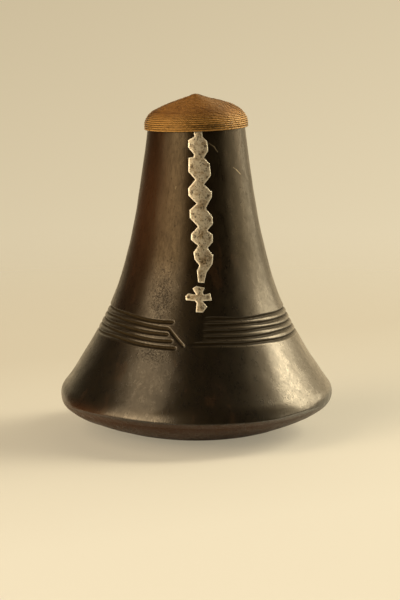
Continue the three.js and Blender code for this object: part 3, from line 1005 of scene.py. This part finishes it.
def stitch_tree(material):
    """Lays stitches along a path, each square to the way outwards there and a little different."""
    tree, start, end = node_group(
        "lid stitches",
        {
            "Stitch": "NodeSocketObject", "Spacing": "NodeSocketFloat",
            "Sway": "NodeSocketFloat", "Seed": "NodeSocketInt",
        },
    )
    seed = start.outputs["Seed"]
    path = add(tree, "GeometryNodeMeshToCurve", {"Mesh": start.outputs["Geometry"]})
    spots = add(
        tree, "GeometryNodeCurveToPoints",
        {"Curve": path.outputs[0], "Length": start.outputs["Spacing"]}, mode="LENGTH",
    )
    outward = add(tree, "GeometryNodeInputNamedAttribute", {"Name": "outward"}, data_type="FLOAT_VECTOR")
    facing = add(
        tree, "FunctionNodeAxesToRotation", {0: outward.outputs[0], 1: spots.outputs["Tangent"]},
        primary_axis="Z", secondary_axis="X",
    )
    sway_low = add(tree, "ShaderNodeMath", {0: start.outputs["Sway"], 1: -1.0}, operation="MULTIPLY")
    sway = add(
        tree, "FunctionNodeRandomValue",
        {"Min": sway_low.outputs[0], "Max": start.outputs["Sway"], "Seed": seed}, data_type="FLOAT",
    )
    turn = add(tree, "ShaderNodeCombineXYZ", {"Z": sway.outputs["Value"]})
    turned = add(
        tree, "FunctionNodeRotateRotation",
        {0: facing.outputs[0], 1: turn.outputs[0]}, rotation_space="LOCAL",
    )
    size = add(
        tree, "FunctionNodeRandomValue",
        {0: STITCH_SMALLEST, 1: STITCH_LARGEST, "Seed": seed}, data_type="FLOAT_VECTOR",
    )
    stitch = add(tree, "GeometryNodeObjectInfo", {"Object": start.outputs["Stitch"]})
    laid = add(
        tree, "GeometryNodeInstanceOnPoints",
        {
            "Points": spots.outputs["Points"], "Instance": stitch.outputs["Geometry"],
            "Rotation": turned.outputs[0], "Scale": size.outputs["Value"],
        },
    )
    tone = add(tree, "FunctionNodeRandomValue", {"Seed": seed}, data_type="FLOAT")
    toned = add(
        tree, "GeometryNodeStoreNamedAttribute",
        {"Geometry": laid.outputs[0], "Name": "tone", "Value": tone.outputs[1]},
        data_type="FLOAT", domain="INSTANCE",
    )
    finish_group(tree, toned.outputs[0], material, end)
    return tree


# Lid

def lid_profile():
    """Outside of the lid, as [radius, height above its edge], from the edge up to the top."""
    radius = float(flare_radius(LID_EDGE_HEIGHT)) + LID_CLEARANCE + LID_WALL
    skirt = np.array([[radius, 0], [radius, LID_SKIRT]])
    crown = bezier(
        [
            (radius, LID_SKIRT),
            (radius, LID_SKIRT + LID_SHOULDER_PULL),
            (radius - LID_CONE_PULL, LID_CONE_START),
            (LID_KNOB_RADIUS, LID_RISE - LID_KNOB_HEIGHT),
        ],
        np.linspace(0, 1, LID_CROWN_POINTS),
    )
    share = np.linspace(0, 1, LID_KNOB_POINTS)[1:, None]
    knob = (
        (1 - share) ** 2 * crown[-1]
        + 2 * share * (1 - share) * np.array([LID_KNOB_RADIUS / 2, LID_RISE])
        + share ** 2 * np.array([0, LID_RISE])
    )
    return resampled(np.vstack([skirt, crown[1:], knob]), LID_PROFILE_SPACING)


def on_lid(point):
    """A point given from the middle of the lid's edge, tilted and put in its place."""
    tilt = math.radians(LID_TILT)
    x, y, z = point
    return Vector((
        x * math.cos(tilt) - z * math.sin(tilt) + LID_SHIFT,
        y,
        x * math.sin(tilt) + z * math.cos(tilt) + LID_EDGE_HEIGHT,
    ))


def coil_path():
    """The coil's middle line, which winds from the edge of the lid up to its top.

    Returned as points, the way outwards at each, and how many rows below each.
    """
    profile = lid_profile()
    normals = profile_normals(profile)
    along = lengths_along(profile)
    points, outwards, rows = [], [], []
    reach, turn = COIL_RADIUS + COIL_EDGE_GAP, COIL_START_TURN
    sunk = COIL_RADIUS + STITCH_LIFT
    while True:
        radius, height = (np.interp(reach, along, profile[:, axis]) for axis in (0, 1))
        out, up = (np.interp(reach, along, normals[:, axis]) for axis in (0, 1))
        ring = radius - out * sunk
        if ring < COIL_INNER_RING:
            break
        swing = math.radians(turn)
        way = Vector((math.sin(swing), -math.cos(swing), 0))
        outward = way * out + Vector((0, 0, up))
        middle = way * ring + Vector((0, 0, height - up * sunk))
        swell = sum(noise.noise(middle / length) * high for length, high in LID_WAVES)
        for place, wide, high in LID_SWELLS:
            swell += high * hump((middle - Vector(place)).length, 0, wide)
        points.append(on_lid(middle + outward * swell))
        outwards.append((on_lid(outward) - on_lid((0, 0, 0))).normalized())
        rows.append((turn - COIL_START_TURN) / 360)
        step = min(COIL_STEP / ring, math.radians(COIL_LARGEST_TURN))
        turn += math.degrees(step)
        reach += COIL_PITCH * step / (2 * math.pi)
    return points, outwards, rows


def path_object(points, outwards, rows):
    """A string of edges that carries the way outwards and the row at each point."""
    mesh = bpy.data.meshes.new("coil path")
    edges = [(here, here + 1) for here in range(len(points) - 1)]
    mesh.from_pydata([point * MM for point in points], edges, [])
    way = mesh.attributes.new("outward", "FLOAT_VECTOR", "POINT")
    way.data.foreach_set("vector", np.array(outwards, np.float32).ravel())
    obj = placed("coil path", mesh)
    store_marks(obj, {"row": rows})
    return obj


def stitch_object():
    """One stitch: a crowned strip bent over the coil, leaning along it, with its ends tucked in."""
    points, rings, crests = [], [], []
    for share in np.linspace(-1, 1, STITCH_STEPS):
        bend = math.radians(STITCH_BEND) * share
        pinch = 1 - STITCH_PINCH * share ** 2
        rings.append(list(range(len(points), len(points) + len(STITCH_SECTION))))
        for across, lift in STITCH_SECTION:
            reach = COIL_RADIUS + STITCH_LIFT * lift * pinch - STITCH_TUCK * share ** 4
            slide = STITCH_SLANT * share + across * STITCH_WIDTH * pinch
            points.append((slide, reach * math.sin(bend), reach * math.cos(bend)))
            crests.append(math.cos(bend) ** 4)
    made = new_object("stitch", points, [*skin(rings), rings[0], rings[-1]])
    store_marks(made, {"crest": crests})
    return made


def lid_top():
    """The tight knot of fibre that starts the coil at the top."""
    points, rings = [], []
    for tilt in np.radians(np.linspace(-90, 90, KNOT_LEVELS)):
        at_pole = math.cos(tilt) < SAME_POINT
        turns = [0] if at_pole else ring_turns(KNOT_SIDES)
        corners = []
        for turn in turns:
            ring = math.cos(tilt)
            place = Vector((ring * math.cos(turn), ring * math.sin(turn), math.sin(tilt)))
            twist = 1
            if not at_pole:
                twist += KNOT_TWIST * math.sin(KNOT_STRANDS * turn + KNOT_LEAN * tilt)
                twist += KNOT_LUMPS * noise.noise(place * KNOT_LUMP_COUNT)
            middle = place * Vector((KNOT_RADIUS, KNOT_RADIUS, KNOT_RISE)) * twist
            corners.append(len(points))
            points.append(on_lid(middle + Vector((0, 0, LID_RISE - KNOT_SINK))))
        rings.append(corners * (KNOT_SIDES // len(corners)))
    return new_object("lid_knot", points, skin(rings))


# Materials

def linear(colour):
    """Linear colour, with its alpha, of an sRGB hex value."""
    channels = [int(colour[place:place + 2], 16) / 255 for place in (1, 3, 5)]
    straight = [c / 12.92 if c <= 0.04045 else ((c + 0.055) / 1.055) ** 2.4 for c in channels]
    return (*straight, 1.0)


def new_material(name, values):
    """A material with some values set on its shader, its tree, the shader, and Object coordinates."""
    material = bpy.data.materials.new(name)
    material.use_nodes = True
    tree = material.node_tree
    tree.nodes.clear()
    shader = add(tree, "ShaderNodeBsdfPrincipled", values)
    add(tree, "ShaderNodeOutputMaterial", {"Surface": shader.outputs[0]})
    coordinates = add(tree, "ShaderNodeTexCoord").outputs["Object"]
    return material, tree, shader, coordinates


def scratch_share(tree, coordinates, start, end, strength):
    """How strongly each place shows the scratch between two turns and heights on the wood."""
    ends = []
    for turn, height in (start, end):
        radius, swing = float(flare_radius(height)), math.radians(turn)
        ends.append(Vector((radius * math.sin(swing), -radius * math.cos(swing), height)) * MM)
    way = ends[1] - ends[0]
    offset = add(tree, "ShaderNodeVectorMath", {0: coordinates, 1: ends[0]}, operation="SUBTRACT").outputs[0]
    along = add(
        tree, "ShaderNodeVectorMath", {0: offset, 1: way / way.length_squared}, operation="DOT_PRODUCT",
    ).outputs["Value"]
    held = add(tree, "ShaderNodeClamp", {"Value": along}).outputs[0]
    foot = add(tree, "ShaderNodeVectorMath", {0: way, "Scale": held}, operation="SCALE").outputs[0]
    apart = add(tree, "ShaderNodeVectorMath", {0: offset, 1: foot}, operation="DISTANCE").outputs["Value"]
    return add(
        tree, "ShaderNodeMapRange",
        {"Value": apart, "From Min": SCRATCH_WIDTH / 2 * MM, "From Max": 0.0, "To Max": strength},
    ).outputs[0]


def blackened_wood():
    """Carved hardwood, blackened by smoke and years of butter.

    Near black, warm brown where it is worn and on the underside, where the brown is painted light bounced up
    from the floor, dusty in the carving on the left, and painted pale on its ridges as a highlight and as
    rubbed wear, with fine grain up and down. An oily polish lies over it, thick on the lower half and thin on
    the neck, and misses small pits, so that highlights are speckled.
    """
    material, tree, shader, coordinates = new_material("blackened oiled wood", {
        "IOR": 1.45, "Specular Tint": linear("#eed09c"), "Specular IOR Level": 0.3,
        "Coat Roughness": 0.25, "Coat IOR": 1.6,
    })
    carved, dusty, ridge, rubbed, dimpled = (
        add(tree, "ShaderNodeAttribute", attribute_name=name).outputs["Fac"]
        for name in ("carved", "dusty", "ridge", "rubbed", "dimpled")
    )
    height = add(tree, "ShaderNodeSeparateXYZ", {0: coordinates}).outputs["Z"]
    upright, leaning = (
        add(tree, "ShaderNodeMapping", {"Vector": coordinates, "Scale": (1, 1, squeeze)}).outputs[0]
        for squeeze in (0.12, 0.4)
    )
    # Widths in millimetres of the grain and the pits, both drawn coarser than real ones so that they show, of
    # streaks along the grain, and of broad and of small blotches
    grain, pits, streaks, broad, mottle = (
        add(
            tree, "ShaderNodeTexNoise",
            {"Vector": vector, "Scale": 1 / (width * MM), "Detail": detail, "Roughness": broken},
        ).outputs["Fac"]
        for vector, width, detail, broken in (
            (upright, 1.25, 4.0, 0.6), (coordinates, 1.5625, 3.0, 0.65), (upright, 11.11, 3.0, 0.5),
            (coordinates, 45.45, 5.0, 0.6), (leaning, 5.263, 5.0, 0.7),
        )
    )
    # Grain lightens and darkens the colour. Gloss comes in blotches, and so does the polish, which is thinner
    # below the edge and up the neck
    grained, gloss, blotch, low_down, thick = (
        add(
            tree, "ShaderNodeMapRange",
            {"Value": value, "From Min": start, "From Max": end, "To Min": low, "To Max": high},
        ).outputs[0]
        for value, start, end, low, high in (
            (grain, 0.35, 0.65, 0.8, 1.2), (mottle, 0.3, 0.7, 0.44, 0.66), (mottle, 0.35, 0.65, 1.0, 0.72),
            (height, 24 * MM, 32 * MM, 0.1, 1.0), (height, 80 * MM, 160 * MM, 0.82, 0.12),
        )
    )
    patch = add(tree, "ShaderNodeMath", {0: broad, 1: 0.6, 2: streaks}, operation="MULTIPLY_ADD").outputs[0]
    ramp = add(tree, "ShaderNodeValToRGB", {"Fac": patch})
    stops = ramp.color_ramp.elements
    stops[0].position, stops[0].color = 0.72, linear("#0a0805")
    stops[1].position, stops[1].color = 1.15, linear("#1c130c")
    stops.new(0.95).color = linear("#0e0a07")
    # Wear turns the wood warm brown, and so does painted light bounced up from the floor on the underside
    worn_and_lit_below_colour = add(
        tree, "ShaderNodeMix", {0: rubbed, 6: ramp.outputs[0], 7: linear("#442b1b")}, data_type="RGBA",
    ).outputs[2]
    coloured = add(
        tree, "ShaderNodeMix", {0: 1.0, 6: worn_and_lit_below_colour, 7: grained}, data_type="RGBA", blend_type="MULTIPLY",
    ).outputs[2]
    # The ridges are painted pale, as a highlight and as rubbed wear
    layers = [(carved, "#0d0a06"), (dusty, "#251e12"), (ridge, "#3a342c")]
    layers += [(scratch_share(tree, coordinates, *scratch), "#c2b69c") for scratch in SCRATCHES]
    for share, colour in layers:
        coloured = add(
            tree, "ShaderNodeMix", {0: share, 6: coloured, 7: linear(colour)}, data_type="RGBA",
        ).outputs[2]
    tree.links.new(coloured, shader.inputs["Base Color"])
    # A pit shows where its noise falls below a level, which is higher in dimpled places
    pit_level = add(
        tree, "ShaderNodeMath", {0: dimpled, 1: 0.16, 2: 0.3}, operation="MULTIPLY_ADD",
    ).outputs[0]
    under = add(tree, "ShaderNodeMath", {0: pit_level, 1: pits}, operation="SUBTRACT").outputs[0]
    sunken = add(
        tree, "ShaderNodeMapRange", {"Value": under, "From Min": -0.1, "From Max": 0.0, "To Max": 0.55},
    ).outputs[0]
    rough = gloss
    for value, factor in ((grain, -0.4), (carved, 0.35), (sunken, 0.7)):
        rough = add(
            tree, "ShaderNodeMath", {0: value, 1: factor, 2: rough}, operation="MULTIPLY_ADD",
        ).outputs[0]
    tree.links.new(rough, shader.inputs["Roughness"])
    # Polish is lost where the wood is carved, worn or pitted, and on the underside painted as lit from below
    worked = add(tree, "ShaderNodeMath", {0: rubbed, 1: 0.8, 2: carved}, operation="MULTIPLY_ADD").outputs[0]
    lost = add(tree, "ShaderNodeMath", {0: worked, 1: sunken}, operation="ADD").outputs[0]
    kept = add(tree, "ShaderNodeMath", {0: 1.0, 1: lost}, operation="SUBTRACT", use_clamp=True).outputs[0]
    polish = thick
    for share in (blotch, grained, kept, low_down):
        polish = add(tree, "ShaderNodeMath", {0: polish, 1: share}, operation="MULTIPLY").outputs[0]
    tree.links.new(polish, shader.inputs["Coat Weight"])
    dents = add(tree, "ShaderNodeMath", {0: pits, 1: dimpled}, operation="MULTIPLY").outputs[0]
    pitted = add(tree, "ShaderNodeBump", {"Height": dents, "Strength": 1.0, "Distance": 0.3 * MM}).outputs[0]
    fine = add(
        tree, "ShaderNodeBump",
        {"Height": grain, "Strength": 0.5, "Distance": 0.06 * MM, "Normal": pitted},
    ).outputs[0]
    tree.links.new(fine, shader.inputs["Normal"])
    tree.links.new(fine, shader.inputs["Coat Normal"])
    return material


def straw(name, dark, pale):
    """Split and twisted plant fibre, sewn tight: golden brown and matt, each stitch of its own tone.

    The rows towards the top are darker brown, and where stitches bend down between the rows it is painted
    nearly black, as shade in the creases.
    """
    material, tree, shader, coordinates = new_material(name, {"Specular Tint": linear("#f4d3a2")})
    tone, crest, row = (
        add(tree, "ShaderNodeAttribute", attribute_name=mark).outputs["Fac"]
        for mark in ("tone", "crest", "row")
    )
    by_row = add(
        tree, "ShaderNodeTexNoise", {"W": row, "Scale": 1.4, "Detail": 1.0}, noise_dimensions="1D",
    ).outputs["Fac"]
    # Widths in millimetres of blotches and of single fibres
    mottle, fibre = (
        add(
            tree, "ShaderNodeTexNoise", {"Vector": coordinates, "Scale": 1 / (width * MM), "Detail": 2.0},
        ).outputs["Fac"]
        for width in (16.67, 0.3846)
    )
    mixed = mottle
    for value, factor in ((by_row, 0.8), (tone, 0.2)):
        mixed = add(
            tree, "ShaderNodeMath", {0: value, 1: factor, 2: mixed}, operation="MULTIPLY_ADD",
        ).outputs[0]
    ramp = add(tree, "ShaderNodeValToRGB", {"Fac": mixed})
    stops = ramp.color_ramp.elements
    stops[0].position, stops[0].color = 0.7, linear(dark)
    stops[1].position, stops[1].color = 1.3, linear(pale)
    # Rows towards the top are darker brown and duller
    darker_towards_top = add(
        tree, "ShaderNodeMapRange",
        {"Value": row, "From Min": 5.0, "From Max": 10.0, "To Min": 0.0, "To Max": 0.6},
    ).outputs[0]
    # Where a stitch bends down off its crest between the rows the straw is painted nearly black, as shade in
    # the crease; the bare core, which has no crest, is all that shade
    darker_towards_top_colour, painted_crease_shade = (
        add(
            tree, "ShaderNodeMix", {0: darker_towards_top, 6: fresh, 7: linear(brown)}, data_type="RGBA",
        ).outputs[2]
        for fresh, brown in ((ramp.outputs[0], "#623a16"), (linear("#2a1807"), "#5a3614"))
    )
    coloured = add(tree, "ShaderNodeMix", {0: crest, 6: painted_crease_shade, 7: darker_towards_top_colour}, data_type="RGBA").outputs[2]
    # A patch of painted shade on the front of the skirt, and a painted highlight on the right shoulder
    for place, reach, bright in LID_PAINTED_SHADE_AND_HIGHLIGHT:
        away = add(
            tree, "ShaderNodeVectorMath", {0: coordinates, 1: Vector(place) * MM}, operation="DISTANCE",
        ).outputs["Value"]
        share = add(
            tree, "ShaderNodeMapRange", {"Value": away, "From Max": reach * MM, "To Min": bright},
        ).outputs[0]
        coloured = add(
            tree, "ShaderNodeMix", {0: 1.0, 6: coloured, 7: share}, data_type="RGBA", blend_type="MULTIPLY",
        ).outputs[2]
    tree.links.new(coloured, shader.inputs["Base Color"])
    gloss = add(tree, "ShaderNodeMapRange", {"Value": tone, "To Min": 0.28, "To Max": 0.42}).outputs[0]
    dull = add(tree, "ShaderNodeMath", {0: darker_towards_top, 1: 0.4, 2: gloss}, operation="MULTIPLY_ADD").outputs[0]
    tree.links.new(dull, shader.inputs["Roughness"])
    bump = add(tree, "ShaderNodeBump", {"Height": fibre, "Strength": 0.4, "Distance": 0.03 * MM}).outputs[0]
    tree.links.new(bump, shader.inputs["Normal"])
    return material


def pale_metal(name, bright, stain, rough):
    """Soft pale sheet metal, cut and beaten by hand.

    Dull and pitted, with a warm tarnish in patches, and painted bright along its edges, as a highlight and as
    rubbed metal.
    """
    material, tree, shader, coordinates = new_material(name, {"Metallic": 0.8})
    rim, stained = (
        add(tree, "ShaderNodeAttribute", attribute_name=mark).outputs["Fac"] for mark in ("rim", "stain")
    )
    # Widths in millimetres of clouds of tarnish and of pits
    cloud, spots = (
        add(
            tree, "ShaderNodeTexNoise",
            {"Vector": coordinates, "Scale": 1 / (width * MM), "Detail": detail, "Roughness": broken},
        ).outputs["Fac"]
        for width, detail, broken in ((4.762, 5.0, 0.65), (1.613, 3.0, 0.6))
    )
    dirt, speckle = (
        add(
            tree, "ShaderNodeMath", {0: stained, 1: factor, 2: pattern}, operation="MULTIPLY_ADD",
        ).outputs[0]
        for factor, pattern in ((0.16, cloud), (0.06, spots))
    )
    tarnish, pitted, gloss = (
        add(
            tree, "ShaderNodeMapRange",
            {"Value": value, "From Min": start, "From Max": end, "To Min": low, "To Max": high},
        ).outputs[0]
        for value, start, end, low, high in (
            (dirt, 0.42, 0.66, 0.0, 1.0), (speckle, 0.54, 0.66, 1.0, 0.25),
            (cloud, 0.3, 0.7, rough - 0.07, rough + 0.1),
        )
    )
    colour = add(
        tree, "ShaderNodeMix", {0: tarnish, 6: linear(bright), 7: linear(stain)}, data_type="RGBA",
    ).outputs[2]
    pocked = add(
        tree, "ShaderNodeMix", {0: 1.0, 6: colour, 7: pitted}, data_type="RGBA", blend_type="MULTIPLY",
    ).outputs[2]
    # Near white along the edges: a painted highlight, and rubbed metal
    edged = add(
        tree, "ShaderNodeMix", {0: rim, 6: pocked, 7: linear("#f2eee2")}, data_type="RGBA",
    ).outputs[2]
    bump = add(tree, "ShaderNodeBump", {"Height": spots, "Strength": 0.5, "Distance": 0.12 * MM}).outputs[0]
    for result, socket in ((edged, "Base Color"), (gloss, "Roughness"), (bump, "Normal")):
        tree.links.new(result, shader.inputs[socket])
    return material


def paper_floor():
    """Pale matt paper that fades into the studio behind it, so that no edge shows.

    The camera sees it a little more evenly lit than it is, as under a wide studio light.
    """
    material, tree, shader, coordinates = new_material(
        "pale backdrop paper", {"Roughness": 0.9, "Specular IOR Level": 0.1},
    )
    # The paper is painted darker towards the back and the left, as shade
    back_left = add(
        tree, "ShaderNodeVectorMath", {0: coordinates, 1: (-0.6, 1, 0)}, operation="DOT_PRODUCT",
    ).outputs["Value"]
    depth = add(
        tree, "ShaderNodeMapRange", {"Value": back_left, "From Min": -0.35, "From Max": 0.45},
    ).outputs[0]
    tone, seen_tone = (
        add(
            tree, "ShaderNodeMix", {0: depth, 6: linear(near), 7: linear(far)}, data_type="RGBA",
        ).outputs[2]
        for near, far in (("#dcdfe1", "#c6c5c0"), ("#f5e7c8", "#e4d6b8"))
    )
    tree.links.new(tone, shader.inputs["Base Color"])
    reach = add(tree, "ShaderNodeVectorMath", {0: coordinates}, operation="LENGTH").outputs["Value"]
    faded = add(
        tree, "ShaderNodeMapRange",
        {"Value": reach, "From Min": 0.5, "From Max": 1.5}, interpolation_type="SMOOTHSTEP",
    ).outputs[0]
    glow = add(tree, "ShaderNodeEmission", {"Color": seen_tone}).outputs[0]
    ray = add(tree, "ShaderNodeLightPath").outputs["Is Camera Ray"]
    even = add(tree, "ShaderNodeMath", {0: ray, 1: 0.3}, operation="MULTIPLY").outputs[0]
    paper = add(tree, "ShaderNodeMixShader", {0: even, 1: shader.outputs[0], 2: glow}).outputs[0]
    clear = add(tree, "ShaderNodeBsdfTransparent").outputs[0]
    mixed = add(tree, "ShaderNodeMixShader", {0: faded, 1: paper, 2: clear}).outputs[0]
    output = next(node for node in tree.nodes if node.type == "OUTPUT_MATERIAL")
    tree.links.new(mixed, output.inputs["Surface"])
    return material


# Studio

def softbox(name, turn, rise, distance, width, height, power, colour):
    """A soft lamp that looks at the middle of the vessel from a turn round it and a rise above it."""
    lamp = bpy.data.lights.new(name, "AREA")
    lamp.shape = "RECTANGLE"
    lamp.size, lamp.size_y = width, height
    lamp.energy = power
    lamp.color = linear(colour)[:3]
    obj = placed(name, lamp)
    swing, lift = math.radians(turn), math.radians(rise)
    way = Vector((math.sin(swing) * math.cos(lift), -math.cos(swing) * math.cos(lift), math.sin(lift)))
    obj.location = Vector((0, 0, LAMPS_AIM * MM)) + way * distance
    obj.rotation_euler = way.to_track_quat("Z", "Y").to_euler()
    obj.visible_camera = False


def studio_world():
    """Soft light, pale from behind on the right and dim from in front, and a pale backdrop for the camera."""
    world = bpy.data.worlds.new("studio")
    bpy.context.scene.world = world
    world.use_nodes = True
    tree = world.node_tree
    tree.nodes.clear()
    direction = add(tree, "ShaderNodeTexCoord").outputs["Generated"]
    right_behind = add(
        tree, "ShaderNodeVectorMath", {0: direction, 1: (0.6, 0.8, 0)}, operation="DOT_PRODUCT",
    ).outputs["Value"]
    # The backdrop that the camera sees is painted darker towards the top and the left, as shade
    up_left = add(
        tree, "ShaderNodeVectorMath", {0: direction, 1: (-0.4, 0, 1)}, operation="DOT_PRODUCT",
    ).outputs["Value"]
    seen = add(
        tree, "ShaderNodeMapRange", {"Value": up_left, "From Min": -0.28, "From Max": 0.02},
    ).outputs[0]
    backdrop = add(
        tree, "ShaderNodeMix", {0: seen, 6: linear("#f1e1be"), 7: linear("#cdbd9c")}, data_type="RGBA",
    ).outputs[2]
    behind = add(
        tree, "ShaderNodeMapRange",
        {"Value": right_behind, "From Min": 0.1, "From Max": 0.8, "To Min": 0.04, "To Max": 1.05},
    ).outputs[0]
    light = add(tree, "ShaderNodeBackground", {"Color": linear("#ffe4b4"), "Strength": behind}).outputs[0]
    background = add(tree, "ShaderNodeBackground", {"Color": backdrop, "Strength": 1.0}).outputs[0]
    ray = add(tree, "ShaderNodeLightPath").outputs["Is Camera Ray"]
    mixed = add(tree, "ShaderNodeMixShader", {0: ray, 1: light, 2: background}).outputs[0]
    add(tree, "ShaderNodeOutputWorld", {"Surface": mixed})


def studio_camera():
    """The camera that sees the object from the front, from a little above it."""
    camera = bpy.data.cameras.new("camera")
    camera.lens = CAMERA_LENS
    camera.sensor_width = SENSOR
    camera.clip_start, camera.clip_end = 0.1, 100
    obj = placed("camera", camera)
    obj.location = Vector(CAMERA_PLACE) * MM
    obj.rotation_euler = (math.radians(90 - CAMERA_PITCH), 0, 0)
    bpy.context.scene.camera = obj


def studio_floor():
    """A round floor, wider than the paper on it shows."""
    turns = ring_turns(FLOOR_SIDES)
    points = [(FLOOR_RADIUS * math.cos(turn), FLOOR_RADIUS * math.sin(turn), 0) for turn in turns]
    floor = new_object("floor", points, [list(range(len(points)))], paper_floor())


# The pieces

wood = blackened_wood()
vessel = vessel_block()
for cutter in (
    sheet_seat("chain seat", CHAIN_CORNERS),
    sheet_seat("cross seat", CROSS_CORNERS),
    rods("pin holes", ALL_PIN_PLACES, PIN_RADIUS + PIN_GAP, -PIN_DEPTH - SEAT_GAP, CUT_PROUD, HOLE_SIDES),
):
    vessel = cut_away(vessel, cutter)
shade(vessel, VESSEL_SHARPEST)
set_vessel_marks(vessel)
vessel.data.materials.clear()
vessel.data.materials.append(wood)
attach(vessel, "vessel")
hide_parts("vessel_body")

metal = pale_metal("dull beaten tin", "#bfbaad", "#897b66", 0.48)
for name, corners in (("chain", CHAIN_CORNERS), ("cross", CROSS_CORNERS)):
    sheet = inlay_sheet(f"inlay_{name}_sheet", corners, PIN_PLACES[name])
    sheet.data.materials.append(metal)
    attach(sheet, "vessel")
    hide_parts(f"inlay_{name}")

pins = rods("inlay_pins", ALL_PIN_PLACES, PIN_HEAD_RADIUS, -PIN_DEPTH, SHEET_PROUD + PIN_PROUD, PIN_SIDES)
pins.data.materials.append(pale_metal("hammered pin ends", "#a89c88", "#6f6354", 0.5))
shade(pins, PIN_SHARPEST)
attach(pins, "vessel")
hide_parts(*CHAIN_PINS, *CROSS_PINS)

fibre = straw("sewn straw", "#573f1b", "#ad8448")
# The bare core shows only between stitches, and is painted as the shade in the creases there
core = straw("coiled straw core", "#3e280e", "#68481c")
path = coil_path()
coil = grown(
    path_object(*path), coil_tree(core),
    {"Coil Radius": CORE_RADIUS * MM, "Sides": CORE_SIDES}, "lid_coil",
)
stitch = stitch_object()
stitches = grown(
    path_object(*path), stitch_tree(fibre),
    {
        "Stitch": stitch, "Spacing": STITCH_SPACING * MM,
        "Sway": math.radians(STITCH_SWAY), "Seed": STITCH_SEED,
    },
    "lid_stitches",
)
bpy.data.objects.remove(stitch)
knot = lid_top()
knot.data.materials.append(core)
for piece in (coil, stitches, knot):
    shade(piece, LID_SHARPEST)
    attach(piece, "cap")
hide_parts("basket_lid")

# Lamps: name, turn, rise, distance in metres, width and height in metres, power and colour. On the right a
# key with a wider glow round it, one low down and a small one further forward give the flare's long bright
# highlight. On the left a high lamp, a low one and its wide glow give the softer one that runs up the neck
softbox("key", 105, 34, 4, 1.3, 2.1, 86, "#ffedc6")
softbox("key glow", 112, 33, 4, 2.0, 2.7, 72, "#ffedc6")
softbox("low key", 112, 8, 4, 2.8, 1.1, 36, "#ffedc6")
softbox("front key", 78, 13, 4, 1.8, 0.9, 14, "#ffedc6")
softbox("side", -60, 38, 4, 2.3, 3.0, 66, "#ffe3b8")
softbox("low side", -42, 12, 4, 2.6, 2.2, 68, "#ffe3b8")
softbox("low side glow", -52, 12, 4, 4.2, 2.4, 108, "#ffe3b8")
studio_world()
studio_floor()
studio_camera()
scene = bpy.context.scene
scene.view_settings.view_transform = "Standard"
